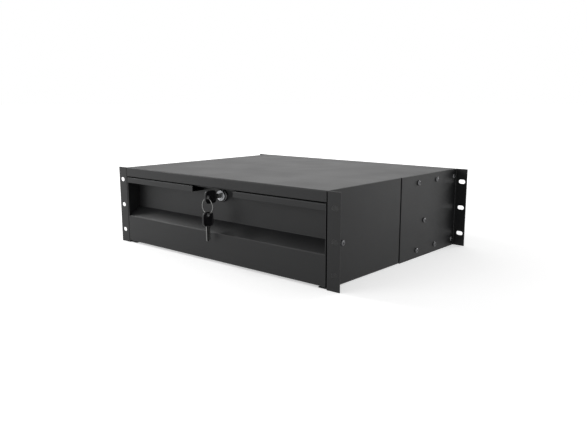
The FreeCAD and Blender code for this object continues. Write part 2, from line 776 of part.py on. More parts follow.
def make_slides():
    """The three members of each slide."""
    gauge = S["slide_gauge"]
    half = S["slide_height"] / 2
    depth, lip = S["outer_depth"], S["outer_lip"]
    corners = [(depth, half - lip), (depth, half), (0, half), (0, -half), (depth, -half),
               (depth, lip - half)]
    make_slide_member("slide_outer", corners, [OUTER_ROW],
                      (WALL_IN - 2 * gauge, slide_screw_spots()))
    half, depth, lip = MIDDLE_FACE, S["middle_depth"], S["middle_lip"]
    corners = [(depth, half - lip), (depth, half), (MIDDLE_WEB, half), (MIDDLE_WEB, -half),
               (depth, -half), (depth, lip - half)]
    make_slide_member("slide_middle", corners, [OUTER_ROW, INNER_ROW], None)
    half, depth = INNER_FACE, S["slide_space"]
    corners = [(INNER_EDGE, -half), (depth, -half), (depth, half), (INNER_EDGE, half)]
    make_slide_member("slide_inner", corners, [INNER_ROW],
                      (TRAY_SIDE - gauge, tray_screw_spots()))


def ball_spots(row):
    """Where the balls of both rows of a cage lie."""
    depth, rise, _ = row
    step = (CAGE_LENGTH - 2 * S["cage_margin"]) / (BALLS_PER_ROW - 1)
    first = CAGE_FRONT + S["cage_margin"]
    return [(across(depth), first + index * step, SLIDE_Z + side * rise)
            for side in (-1, 1) for index in range(BALLS_PER_ROW)]


def make_ball(name, radius):
    """A ball, cut as a six-sided prism with bevelled ends to keep forty of them light."""
    body = new_body(f"{name}_ball")
    add_pad(body, "XY_Plane", dim(0) - radius, 2 * radius,
            lambda sketch: draw_polygon(sketch, 0, 0, radius, HOLE_SIDES))
    add_bevel(body, "z", [radius, dim(0) - radius], radius / 2)
    return body


def make_cage(name, row, web, depth):
    """A ball cage: a folded strip with a hole for each ball, and its balls."""
    body = new_body(f"{name}_cage")
    rise = row[1] + S["cage_gauge"] / 2
    corners = [(depth, rise), (web, rise), (web, -rise), (depth, -rise)]
    path = [(across(x), SLIDE_Z + z) for x, z in corners]
    add_folded_sheet(body, "XZ_Plane", CAGE_FRONT, CAGE_LENGTH, path,
                     S["cage_gauge"], S["cage_gap"])
    spots = [(x, y) for x, y, _ in ball_spots(row)[:BALLS_PER_ROW]]
    punch(body, "XY_Plane", SLIDE_Z - 2 * rise, 4 * rise, spots, row[2] + S["cage_clearance"])
    keep_pair(body, f"{name}_cage")
    keep_pair(group_of(make_ball(name, row[2]), f"{name}_balls", ball_spots(row)), f"{name}_balls")


# ---------------------------------------------------------------- the drawer

def make_tray():
    """The tray: floor and sides folded with turned-in edges, and a wall welded in at each end."""
    body = new_body("drawer_tray")
    gauge = S["tray_gauge"]
    floor = BASE + S["tray_bottom"]
    rim = TOP - S["tray_headroom"]
    edge = TRAY_SIDE - S["tray_flange"]
    path = [(edge, rim), (TRAY_SIDE, rim), (TRAY_SIDE, floor), (-TRAY_SIDE, floor),
            (-TRAY_SIDE, rim), (-edge, rim)]
    length = TRAY_BACK - FRONT_BACK
    add_folded_sheet(body, "XZ_Plane", FRONT_BACK, length, path, gauge, S["tray_bend"])
    for wall in (-TRAY_SIDE, TRAY_SIDE - gauge):
        punch(body, "YZ_Plane", wall - gauge, 3 * gauge, tray_screw_spots(), S["hole_radius"])
    keep(body)
    front = make_tray_wall("tray_front_wall", FRONT_BACK, LOCK_Z - S["tray_front_drop"])
    punch(front, "XZ_Plane", FRONT_BACK - gauge, 3 * gauge, front_screw_spots(), S["hole_radius"])
    keep(front)
    keep(make_tray_wall("tray_rear_wall", TRAY_BACK - gauge, rim - gauge))


def make_tray_wall(label, start, top):
    """An end wall of the tray, with its corners cut to clear the folds."""
    body = new_body(label)
    inner, corner = TRAY_SIDE - S["tray_gauge"], S["tray_bend"]
    floor = BASE + S["tray_bottom"] + S["tray_gauge"]
    add_pad(body, "XZ_Plane", start, S["tray_gauge"], lambda sketch: draw_outline(sketch, [
        (corner - inner, floor), (inner - corner, floor), (inner, floor + corner),
        (inner, top - corner), (inner - corner, top), (corner - inner, top),
        (-inner, top - corner), (-inner, floor + corner)]))
    return body


def make_drawer_front():
    """The drawer front: one folded sheet with the lower panel, the recess and the pull strip."""
    body = new_body("drawer_front")
    gauge = S["front_gauge"]
    bottom = BASE + S["front_bottom"]
    top = FRONT_TOP
    path = [(FRONT_BACK, bottom + S["back_flange"]), (FRONT_BACK, bottom), (0, bottom),
            (0, BASE + S["lower_panel_top"]), (S["recess_depth"], BASE + S["recess_floor"]),
            (S["recess_depth"], top - gauge), (gauge, top - gauge), (gauge, top - S["strip_height"])]
    half = FRONT_HALF - gauge
    add_folded_sheet(body, "YZ_Plane", -half, 2 * half, path, gauge, S["front_bend"])
    notch = S["notch_width"] / 2
    add_pocket(body, "XZ_Plane", -gauge, S["notch_depth"] + gauge, lambda sketch: draw_rectangle(
        sketch, (-notch, top - S["strip_height"] - gauge), (notch, top + gauge)))
    drill(body, "XZ_Plane", S["recess_depth"] - gauge, 3 * gauge, [(0, LOCK_Z)], S["lock_hole_radius"])
    punch(body, "XZ_Plane", S["recess_depth"] - gauge, 3 * gauge, front_screw_spots(), S["hole_radius"])
    keep(body)


def make_end_caps():
    """The plates that close the ends of the drawer front."""
    body = new_body("front_end_cap")
    gauge = S["front_gauge"]
    low = (dim(0), BASE + S["front_bottom"])
    high = (FRONT_BACK, FRONT_TOP)
    add_pad(body, "YZ_Plane", FRONT_HALF - gauge, gauge,
            lambda sketch: draw_rectangle(sketch, low, high))
    keep_pair(body, "front_end_cap")


def make_drawer_fasteners():
    """The screws from the tray into the slides, and those that hold the front."""
    gauge = S["tray_gauge"]
    length = 2 * S["slide_gauge"] + gauge
    screw = pan_screw("tray_screw", S["screw_radius"], length, S["head_radius"], S["head_height"])
    seat = TRAY_SIDE - gauge
    group = group_of(screw, "tray_screws", [(seat, y, z) for y, z in tray_screw_spots()], 180)
    keep_pair(group, "tray_screws")
    screw = pan_screw("front_screw", S["screw_radius"], S["front_screw_length"],
                      S["head_radius"], S["head_height"])
    seat = FRONT_BACK + gauge
    spots = [(x, seat, z) for x, z in front_screw_spots()]
    keep(group_of(screw, "front_screws", spots, 90))
    nut = hex_nut("front_nut", S["nut_flats"], S["nut_height"], S["nut_bore"])
    spots = [(x, S["recess_depth"], z) for x, z in front_screw_spots()]
    keep(group_of(nut, "front_nuts", spots, 90))


# ---------------------------------------------------------------- the lock

def make_lock_body():
    """The lock's shell: a domed head in the recess and a round body through the panel."""
    body = new_body("lock_body")
    bore = S["plug_radius"] + S["plug_clearance"]
    bevel = S["lock_head_radius"] - S["lock_face_radius"]

    def profile(sketch):
        draw_outline(sketch, [
            (bore, LOCK_FACE), (S["lock_face_radius"], LOCK_FACE),
            (S["lock_head_radius"], LOCK_FACE + bevel), (S["lock_head_radius"], COLLAR_FACE),
            (S["lock_body_radius"], COLLAR_FACE), (S["lock_body_radius"], BODY_END),
            (bore, BODY_END)])

    add_revolution(body, "XY_Plane", LOCK_Z, "V_Axis", profile)
    keep(body)


def make_lock_collar():
    """The black collar between the lock head and the panel."""
    body = new_body("lock_collar")
    hole = S["lock_body_radius"] + S["key_play"]

    def profile(sketch):
        draw_outline(sketch, [
            (hole, COLLAR_FACE), (S["lock_head_radius"], COLLAR_FACE),
            (S["collar_radius"], S["recess_depth"]), (hole, S["recess_depth"])])

    add_revolution(body, "XY_Plane", LOCK_Z, "V_Axis", profile)
    keep(body)


def make_lock_nut():
    """The nut that holds the lock from behind the panel."""
    nut = hex_nut("lock_nut_master", S["lock_nut_flats"], S["lock_nut_height"],
                  S["lock_body_radius"] + S["key_play"])
    seat = FRONT_BACK + S["lock_nut_height"]
    keep(group_of(nut, "lock_nut", [(dim(0), seat, LOCK_Z)], 90))


def make_lock_plug():
    """The plug that the key turns, with its keyway and square tail."""
    body = new_body("lock_plug")
    add_pad(body, "XZ_Plane", LOCK_FACE, CAM_FRONT - LOCK_FACE,
            lambda sketch: draw_circle(sketch, 0, LOCK_Z, S["plug_radius"]))
    half = S["tail_size"] / 2
    add_pad(body, "XZ_Plane", CAM_FRONT, S["cam_gauge"] - S["tail_clearance"],
            lambda sketch: draw_rectangle(sketch, (-half, LOCK_Z - half), (half, LOCK_Z + half)))
    wide, tall = S["keyway_width"] / 2, S["keyway_height"] / 2
    add_pocket(body, "XZ_Plane", LOCK_FACE - 1, S["keyway_depth"] + 1, lambda sketch: draw_rectangle(
        sketch, (-wide, LOCK_Z - tall), (wide, LOCK_Z + tall)))
    reach = S["cam_screw_length"] - 1
    drill(body, "XZ_Plane", CAM_BACK - reach - 2, reach + 3, [(0, LOCK_Z)],
          S["cam_screw_radius"] + S["key_play"])
    keep(body)


def make_lock_cam():
    """The cam: a plate with round ends on the plug's square tail."""
    body = new_body("lock_cam")
    middle = -(S["cam_length"] / 2)
    add_pad(body, "XZ_Plane", CAM_FRONT, S["cam_gauge"],
            lambda sketch: draw_obround(sketch, middle, LOCK_Z, S["cam_length"], S["cam_radius"]))
    half = S["tail_size"] / 2 + S["tail_clearance"]
    add_pocket(body, "XZ_Plane", CAM_FRONT - 1, S["cam_gauge"] + 2, lambda sketch: draw_rectangle(
        sketch, (-half, LOCK_Z - half), (half, LOCK_Z + half)))
    keep(body)
    screw = pan_screw("cam_screw_master", S["cam_screw_radius"], S["cam_screw_length"],
                      S["head_radius"] + 0.5, S["head_height"] * 0.8)
    keep(group_of(screw, "cam_screw", [(dim(0), CAM_BACK, LOCK_Z)], 90))


# ---------------------------------------------------------------- the keys

def blade_outline(end, sign, level, lengthwise):
    """The blade's outline: square root, cuts along one edge and a pointed tip.

    end is where the bow ends, sign the way the blade points, level its middle line, and
    lengthwise says whether the blade runs along the sketch's first axis.
    """
    half = S["blade_height"] / 2
    length = S["blade_length"]
    pitch = (length - S["blade_height"]) / (len(KEY_CUTS) + 1)
    points = [(-S["blade_root"], -half), (-S["blade_root"], half)]
    for index, depth in enumerate(KEY_CUTS):
        middle = S["blade_height"] * 0.6 + pitch * (index + 0.7)
        points += [(middle - pitch * 0.42, half), (middle, half - depth), (middle + pitch * 0.42, half)]
    points += [(length - half, half), (length, -half / 3), (length - half / 2, -half)]
    if lengthwise:
        return [(end + sign * along, level + rise) for along, rise in points]
    return [(level + rise, end + sign * along) for along, rise in points]


def make_key(prefix, end, sign, level, lengthwise):
    """A key: a steel blade held in a moulded bow with a ring hole."""
    blade = new_body(f"{prefix}_blade")
    half = S["key_gauge"] / 2
    outline = blade_outline(end, sign, level, lengthwise)
    add_pad(blade, "YZ_Plane", -half, 2 * half, lambda sketch: draw_outline(sketch, outline))
    keep(blade)
    bow = new_body(f"{prefix}_bow")
    far = end - sign * S["bow_length"]
    tall = S["bow_height"] / 2
    low, high = (far, level - tall), (end, level + tall)
    hole = (far + sign * S["bow_hole_edge"], level)
    play = S["key_play"]
    slot_half = S["blade_height"] / 2 + play
    slot = ((end - sign * (S["blade_root"] + play), level - slot_half),
            (end + sign * play, level + slot_half))
    if not lengthwise:
        low, high, hole = low[::-1], high[::-1], hole[::-1]
        slot = (slot[0][::-1], slot[1][::-1])
    wide = S["bow_gauge"] / 2
    add_pad(bow, "YZ_Plane", -wide, 2 * wide, lambda sketch: draw_rectangle(sketch, low, high))
    corners = [low, (high[0], low[1]), high, (low[0], high[1])]
    add_fillet(bow, "x", corners, S["bow_round"])
    drill(bow, "YZ_Plane", -2 * wide, 4 * wide, [hole], S["bow_hole"])
    room = half + play
    add_pocket(bow, "YZ_Plane", -room, 2 * room, lambda sketch: draw_rectangle(sketch, *slot))
    keep(bow)


def make_key_ring():
    """The ring that hangs in the key's hole and carries the spare key."""
    body = new_body("key_ring")

    def profile(sketch):
        draw_polygon(sketch, S["ring_radius"], RING_Y, S["ring_wire"], 6)

    add_revolution(body, "XY_Plane", RING_TOP - S["ring_radius"], "V_Axis", profile)
    keep(body)


# ---------------------------------------------------------------- build and export

def check_document():
    """Stop if any object failed or any sub-part has no sound shape."""
    for thing in doc.Objects:
        if "Invalid" in thing.State or "Error" in thing.State:
            raise RuntimeError(f"{thing.Label}: {thing.State}")
    for thing in sub_parts:
        shape = thing.Shape
        if shape.isNull() or not shape.isValid() or shape.Volume <= 0:
            raise RuntimeError(f"{thing.Label}: no sound shape")


def export_parts():
    """Write each sub-part to its own STEP file."""
    os.makedirs("parts", exist_ok=True)
    for thing in sub_parts:
        thing.Shape.exportStep(os.path.join("parts", f"{thing.Label}.step"))
        print(f"{thing.Label}: {len(thing.Shape.Solids)} solid(s), {thing.Shape.Volume:.0f} mm3")


make_top_cover()
make_side_panels()
make_rear_brackets()
make_rear_panel()
make_lock_strike()
make_case_fasteners()
make_slides()
make_cage("outer", OUTER_ROW, OUTER_CAGE_WEB, S["outer_cage_depth"])
make_cage("inner", INNER_ROW, INNER_CAGE_WEB, S["inner_cage_depth"])
make_tray()
make_drawer_front()
make_end_caps()
make_drawer_fasteners()
make_lock_body()
make_lock_collar()
make_lock_nut()
make_lock_plug()
make_lock_cam()
make_key("key", BOW_END, 1, LOCK_Z, True)
make_key_ring()
make_key("spare_key", SPARE_HOLE + S["bow_hole_edge"] - S["bow_length"], -1, RING_Y, False)
doc.recompute()
check_document()
export_parts()
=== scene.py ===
"""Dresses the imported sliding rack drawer: finishes, fasteners, slides, lock, keys and studio."""

import json
import logging
import math
from dataclasses import dataclass
from enum import Enum

import bmesh
import bpy
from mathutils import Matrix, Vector

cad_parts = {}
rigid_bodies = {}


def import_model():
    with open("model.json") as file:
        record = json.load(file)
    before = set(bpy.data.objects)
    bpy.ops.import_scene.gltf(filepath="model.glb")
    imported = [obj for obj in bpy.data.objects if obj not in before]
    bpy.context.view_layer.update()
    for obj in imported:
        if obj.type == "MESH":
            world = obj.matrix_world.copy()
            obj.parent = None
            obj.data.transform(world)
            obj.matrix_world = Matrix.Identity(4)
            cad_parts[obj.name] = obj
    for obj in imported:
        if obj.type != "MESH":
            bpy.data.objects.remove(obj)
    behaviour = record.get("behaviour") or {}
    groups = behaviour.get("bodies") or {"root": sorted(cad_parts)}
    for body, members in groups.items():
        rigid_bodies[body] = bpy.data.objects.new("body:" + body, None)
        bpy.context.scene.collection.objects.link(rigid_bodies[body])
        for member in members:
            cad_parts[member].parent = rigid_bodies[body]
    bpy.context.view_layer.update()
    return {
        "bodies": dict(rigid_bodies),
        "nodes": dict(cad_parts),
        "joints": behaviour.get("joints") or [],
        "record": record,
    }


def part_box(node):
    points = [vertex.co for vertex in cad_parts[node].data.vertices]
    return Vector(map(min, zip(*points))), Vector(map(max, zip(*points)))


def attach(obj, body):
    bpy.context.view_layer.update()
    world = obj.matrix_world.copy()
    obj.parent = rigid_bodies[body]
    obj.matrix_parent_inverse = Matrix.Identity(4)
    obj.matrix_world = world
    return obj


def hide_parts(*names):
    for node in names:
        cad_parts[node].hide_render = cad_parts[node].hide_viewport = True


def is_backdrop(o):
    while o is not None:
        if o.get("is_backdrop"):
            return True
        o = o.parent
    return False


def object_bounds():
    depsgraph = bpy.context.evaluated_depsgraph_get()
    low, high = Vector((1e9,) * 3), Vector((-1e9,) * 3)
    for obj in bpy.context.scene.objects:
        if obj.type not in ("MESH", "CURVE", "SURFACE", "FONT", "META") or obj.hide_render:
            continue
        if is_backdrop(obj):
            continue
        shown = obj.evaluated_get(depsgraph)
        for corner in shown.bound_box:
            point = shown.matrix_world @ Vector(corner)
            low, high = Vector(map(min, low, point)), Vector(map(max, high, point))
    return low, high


LOG = logging.getLogger("rack_drawer")
MM = 0.001
HEAD_HEIGHT = 2.6
HEAD_REACH = 4.0 * math.cos(math.pi / 8)
Colour = tuple[float, float, float]
Point = tuple[float, float]


class Facing(Enum):
    """The way the head of a fastener points."""

    RIGHT = (1.0, 0.0, 0.0)
    LEFT = (-1.0, 0.0, 0.0)
    BACK = (0.0, 1.0, 0.0)
    FRONT = (0.0, -1.0, 0.0)


class Side(Enum):
    """A side of the drawer, with the sign of X there."""

    RIGHT = 1
    LEFT = -1

    @property
    def word(self) -> str:
        """The word that ends the names of this side's nodes."""
        return self.name.lower()

    @property
    def outward(self) -> Facing:
        """The facing away from the middle."""
        return Facing.RIGHT if self is Side.RIGHT else Facing.LEFT

    @property
    def inward(self) -> Facing:
        """The facing towards the middle."""
        return Facing.LEFT if self is Side.RIGHT else Facing.RIGHT


# ------------------------------------------------------------------ node trees


def place(tree: bpy.types.NodeTree, kind: str, inputs: dict | None = None, **settings) -> bpy.types.Node:
    """Puts a node in a tree.

    Args:
        tree: The tree that gets the node.
        kind: The node's type name.
        inputs: Sockets to join or plain values, by input name or number.
        **settings: Properties of the node itself.

    Returns:
        The node.
    """
    node = tree.nodes.new(kind)
    for name, value in settings.items():
        setattr(node, name, value)
    for key, value in (inputs or {}).items():
        if isinstance(value, bpy.types.NodeSocket):
            tree.links.new(value, node.inputs[key])
        else:
            node.inputs[key].default_value = value
    return node


def sum_of(tree: bpy.types.NodeTree, operation: str, first, second=0.0) -> bpy.types.NodeSocket:
    """Places a Math node.

    Args:
        tree: The tree that gets the node.
        operation: The Math operation.
        first: A socket or a number.
        second: A socket or a number.

    Returns:
        The result socket.
    """
    return place(tree, "ShaderNodeMath", {0: first, 1: second}, operation=operation).outputs[0]


def spread(tree: bpy.types.NodeTree, value, low: float, high: float, start: float,
           end: float) -> bpy.types.NodeSocket:
    """Places a Map Range node.

    Args:
        tree: The tree that gets the node.
        value: The socket to map.
        low: The input value that gives start.
        high: The input value that gives end.
        start: The output at low.
        end: The output at high.

    Returns:
        The result socket.
    """
    node = place(tree, "ShaderNodeMapRange", {"Value": value, "From Min": low, "From Max": high,
                                              "To Min": start, "To Max": end})
    return node.outputs["Result"]


def noise(tree: bpy.types.NodeTree, vector, scale, detail: float = 2.0) -> bpy.types.NodeSocket:
    """Places a Noise Texture node.

    Args:
        tree: The tree that gets the node.
        vector: The coordinate socket.
        scale: Cells per metre, a number or a socket.
        detail: The number of octaves.

    Returns:
        The factor socket.
    """
    node = place(tree, "ShaderNodeTexNoise", {"Vector": vector, "Scale": scale, "Detail": detail})
    return node.outputs["Fac"]


class Effects:
    """The effects that several finishes share, each one a node group built once."""

    def __init__(self) -> None:
        """Builds the groups."""
        self.edge_band = self._edge_band()
        self.peel = self._peel()
        self.brushing = self._brushing()
        self.handling = self._handling()

    @staticmethod
    def _group(name: str, inputs: dict[str, float], outputs: dict[str, str]):
        """Makes an empty group.

        Args:
            name: The group's name.
            inputs: Float inputs with their defaults.
            outputs: Output names with their socket types.

        Returns:
            The tree, its input node and its output node.
        """
        tree = bpy.data.node_groups.new(name, "ShaderNodeTree")
        for label, value in inputs.items():
            socket = tree.interface.new_socket(name=label, in_out="INPUT", socket_type="NodeSocketFloat")
            socket.default_value = value
        for label, kind in outputs.items():
            tree.interface.new_socket(name=label, in_out="OUTPUT", socket_type=kind)
        return tree, tree.nodes.new("NodeGroupInput"), tree.nodes.new("NodeGroupOutput")

    def _edge_band(self) -> bpy.types.NodeTree:
        """Rounds edges in the normal and masks them, broken up by fine noise."""
        tree, given, out = self._group(
            "edge_band", {"Radius": 0.0004, "Break Up": 700.0},
            {"Mask": "NodeSocketFloat", "Normal": "NodeSocketVector"})
        bevel = place(tree, "ShaderNodeBevel", {"Radius": given.outputs["Radius"]}, samples=6)
        surface = place(tree, "ShaderNodeNewGeometry")
        place_at = place(tree, "ShaderNodeTexCoord").outputs["Object"]
        align = place(tree, "ShaderNodeVectorMath", {0: bevel.outputs[0], 1: surface.outputs["Normal"]},
                      operation="DOT_PRODUCT").outputs["Value"]
        band = spread(tree, align, 0.80, 0.985, 1.0, 0.0)
        speckle = spread(tree, noise(tree, place_at, given.outputs["Break Up"], 3.0), 0.35, 0.65, 0.3, 1.0)
        tree.links.new(sum_of(tree, "MULTIPLY", band, speckle), out.inputs["Mask"])
        tree.links.new(bevel.outputs[0], out.inputs["Normal"])
        return tree

    def _peel(self) -> bpy.types.NodeTree:
        """The slight orange peel of a cured powder, with its fine tooth and mottle."""
        tree, given, out = self._group(
            "powder_peel", {"Cell": 520.0, "Tooth": 3600.0, "Tooth Share": 0.35},
            {"Height": "NodeSocketFloat", "Mottle": "NodeSocketFloat"})
        place_at = place(tree, "ShaderNodeTexCoord").outputs["Object"]
        waves = noise(tree, place_at, given.outputs["Cell"], 1.0)
        tooth = noise(tree, place_at, given.outputs["Tooth"], 2.0)
        fine = sum_of(tree, "MULTIPLY", tooth, given.outputs["Tooth Share"])
        tree.links.new(sum_of(tree, "ADD", waves, fine), out.inputs["Height"])
        tree.links.new(tooth, out.inputs["Mottle"])
        return tree

    def _brushing(self) -> bpy.types.NodeTree:
        """Fine drawn lines along Y, as rolled and plated strip has them."""
        tree, given, out = self._group(
            "drawn_lines", {"Across": 5200.0, "Along": 45.0},
            {"Height": "NodeSocketFloat", "Streak": "NodeSocketFloat"})
        place_at = place(tree, "ShaderNodeTexCoord").outputs["Object"]
        scale = place(tree, "ShaderNodeCombineXYZ", {
            "X": given.outputs["Across"], "Y": given.outputs["Along"], "Z": given.outputs["Across"]})
        stretched = place(tree, "ShaderNodeVectorMath", {0: place_at, 1: scale.outputs[0]},
                          operation="MULTIPLY").outputs["Vector"]
        lines = noise(tree, stretched, 1.0, 3.0)
        broad = noise(tree, stretched, 0.12, 2.0)
        tree.links.new(lines, out.inputs["Height"])
        tree.links.new(spread(tree, broad, 0.3, 0.7, 0.0, 1.0), out.inputs["Streak"])
        return tree

    def _handling(self) -> bpy.types.NodeTree:
        """Faint smears and the dust that settles on level faces."""
        tree, given, out = self._group(
            "handling", {"Smear Scale": 14.0, "Dust Scale": 900.0},
            {"Smear": "NodeSocketFloat", "Dust": "NodeSocketFloat"})
        place_at = place(tree, "ShaderNodeTexCoord").outputs["Object"]
        smear = spread(tree, noise(tree, place_at, given.outputs["Smear Scale"], 4.0), 0.35, 0.7, 0.0, 1.0)
        surface = place(tree, "ShaderNodeNewGeometry").outputs["Normal"]
        rise = place(tree, "ShaderNodeSeparateXYZ", {0: surface}).outputs["Z"]
        level = spread(tree, rise, 0.6, 1.0, 0.0, 1.0)
        specks = spread(tree, noise(tree, place_at, given.outputs["Dust Scale"], 2.0), 0.62, 0.78, 0.0, 1.0)
        tree.links.new(smear, out.inputs["Smear"])
        tree.links.new(sum_of(tree, "MULTIPLY", level, specks), out.inputs["Dust"])
        return tree


# ------------------------------------------------------------------ finishes


@dataclass(frozen=True)
class Finish:
    """What every finish has: a name, a colour and a roughness."""

    name: str
    colour: Colour
    roughness: float

    def start(self) -> tuple[bpy.types.Material, bpy.types.NodeTree, bpy.types.Node]:
        """Makes the material.

        Returns:
            The material, its tree and its shader.
        """
        material = bpy.data.materials.new(self.name)
        material.use_nodes = True
        tree = material.node_tree
        shader = tree.nodes["Principled BSDF"]
        shader.inputs["Base Color"].default_value = (*self.colour, 1.0)
        shader.inputs["Roughness"].default_value = self.roughness
        return material, tree, shader

    @staticmethod
    def use(tree: bpy.types.NodeTree, group: bpy.types.NodeTree, **values: float) -> bpy.types.Node:
        """Places a shared effect.

        Args:
            tree: The material's tree.
            group: The effect.
            **values: Its inputs, with underscores for spaces.

        Returns:
            The group node.
        """
        node = place(tree, "ShaderNodeGroup", node_tree=group)
        for name, value in values.items():
            node.inputs[name.replace("_", " ")].default_value = value
        return node

    @staticmethod
    def tint(tree: bpy.types.NodeTree, factor, base, over) -> bpy.types.NodeSocket:
        """Mixes two colours.

        Args:
            tree: The material's tree.
            factor: The share of over.
            base: A colour or a socket.
            over: A colour or a socket.

        Returns:
            The colour socket.
        """
        node = place(tree, "ShaderNodeMix", data_type="RGBA")
        for index, value in ((0, factor), (6, base), (7, over)):
            if isinstance(value, bpy.types.NodeSocket):
                tree.links.new(value, node.inputs[index])
            else:
                node.inputs[index].default_value = value if index == 0 else (*value, 1.0)
        return node.outputs[2]

    def smear(self, tree: bpy.types.NodeTree, shader: bpy.types.Node, handling: bpy.types.Node, more: float) -> None:
        """Lets the smears raise the roughness.

        Args:
            tree: The material's tree.
            shader: The material's shader.
            handling: The handling effect.
            more: How much rougher a full smear is.
        """
        tree.links.new(spread(tree, handling.outputs["Smear"], 0.0, 1.0, self.roughness,
                              self.roughness + more), shader.inputs["Roughness"])

    @staticmethod
    def emboss(tree: bpy.types.NodeTree, shader: bpy.types.Node, height, depth: float, normal) -> None:
        """Feeds the shader's normal from a height.

        Args:
            tree: The material's tree.
            shader: The material's shader.
            height: The height socket.
            depth: The height of a full step, in metres.
            normal: The normal socket that the bump starts from.
        """
        bump = place(tree, "ShaderNodeBump", {"Height": height, "Distance": depth, "Normal": normal})
        tree.links.new(bump.outputs["Normal"], shader.inputs["Normal"])


@dataclass(frozen=True)
class PowderCoat(Finish):
    """Satin powder coat over folded sheet."""

    worn: Colour = (0.06, 0.061, 0.064)
    peel_depth: float = 0.00006
    edge: float = 0.0004
    gloss: float = 0.28

    def material(self, effects: Effects) -> bpy.types.Material:
        """Builds the finish.

        Args:
            effects: The shared effects.

        Returns:
            The material.
        """
        material, tree, shader = self.start()
        edge = self.use(tree, effects.edge_band, Radius=self.edge)
        peel = self.use(tree, effects.peel)
        handling = self.use(tree, effects.handling)
        mottle = self.tint(tree, spread(tree, peel.outputs["Mottle"], 0.3, 0.7, 0.0, 0.35),
                           self.colour, tuple(channel * 1.7 for channel in self.colour))
        dusty = self.tint(tree, sum_of(tree, "MULTIPLY", handling.outputs["Dust"], 0.12),
                          mottle, (0.16, 0.155, 0.15))
        worn = self.tint(tree, sum_of(tree, "MULTIPLY", edge.outputs["Mask"], 0.55), dusty, self.worn)
        tree.links.new(worn, shader.inputs["Base Color"])
        self.smear(tree, shader, handling, 0.05)
        shader.inputs["Specular IOR Level"].default_value = self.gloss
        self.emboss(tree, shader, peel.outputs["Height"], self.peel_depth, edge.outputs["Normal"])
        return material


@dataclass(frozen=True)
class DrawnSteel(Finish):
    """Rolled, plated or machined metal with fine drawn lines."""

    streak: Colour = (0.5, 0.51, 0.52)
    line_depth: float = 0.00001
    across: float = 5200.0
    along: float = 45.0
    edge: float = 0.0002

    def material(self, effects: Effects) -> bpy.types.Material:
        """Builds the finish.

        Args:
            effects: The shared effects.

        Returns:
            The material.
        """
        material, tree, shader = self.start()
        edge = self.use(tree, effects.edge_band, Radius=self.edge)
        lines = self.use(tree, effects.brushing, Across=self.across, Along=self.along)
        handling = self.use(tree, effects.handling)
        base = self.tint(tree, lines.outputs["Streak"], self.colour, self.streak)
        bright = self.tint(tree, sum_of(tree, "MULTIPLY", edge.outputs["Mask"], 0.5), base,
                           tuple(min(1.0, channel * 1.25) for channel in self.colour))
        tree.links.new(bright, shader.inputs["Base Color"])
        self.smear(tree, shader, handling, 0.12)
        shader.inputs["Metallic"].default_value = 1.0
        self.emboss(tree, shader, lines.outputs["Height"], self.line_depth, edge.outputs["Normal"])
        return material


@dataclass(frozen=True)
class Polished(Finish):
    """Chrome plate or bare polished steel, with faint smears."""

    edge: float = 0.00015

    def material(self, effects: Effects) -> bpy.types.Material:
        """Builds the finish.

        Args:
            effects: The shared effects.

        Returns:
            The material.
        """
        material, tree, shader = self.start()
        edge = self.use(tree, effects.edge_band, Radius=self.edge)
        handling = self.use(tree, effects.handling, Smear_Scale=160.0)
        peel = self.use(tree, effects.peel, Cell=900.0)
        dulled = self.tint(tree, handling.outputs["Smear"], self.colour,
                           tuple(channel * 0.86 for channel in self.colour))
        tree.links.new(dulled, shader.inputs["Base Color"])
        self.smear(tree, shader, handling, 0.08)
        shader.inputs["Metallic"].default_value = 1.0
        self.emboss(tree, shader, peel.outputs["Height"], 0.000003, edge.outputs["Normal"])
        return material


@dataclass(frozen=True)
class Moulded(Finish):
    """Moulded or enamelled black, with a fine grain and rubbed edges."""

    rubbed: Colour = (0.05, 0.05, 0.052)
    grain: float = 2600.0
    grain_depth: float = 0.00002
    edge: float = 0.0003
    coat: float = 0.0
    sheen: float = 0.5

    def material(self, effects: Effects) -> bpy.types.Material:
        """Builds the finish.

        Args:
            effects: The shared effects.

        Returns:
            The material.
        """
        material, tree, shader = self.start()
        edge = self.use(tree, effects.edge_band, Radius=self.edge)
        peel = self.use(tree, effects.peel, Cell=self.grain)
        handling = self.use(tree, effects.handling, Smear_Scale=90.0)
        rubbed = self.tint(tree, sum_of(tree, "MULTIPLY", edge.outputs["Mask"], 0.6), self.colour, self.rubbed)
        tree.links.new(rubbed, shader.inputs["Base Color"])
        self.smear(tree, shader, handling, 0.1)
        shader.inputs["Specular IOR Level"].default_value = self.sheen
        shader.inputs["Coat Weight"].default_value = self.coat
        shader.inputs["Coat Roughness"].default_value = 0.08
        self.emboss(tree, shader, peel.outputs["Height"], self.grain_depth, edge.outputs["Normal"])
        return material


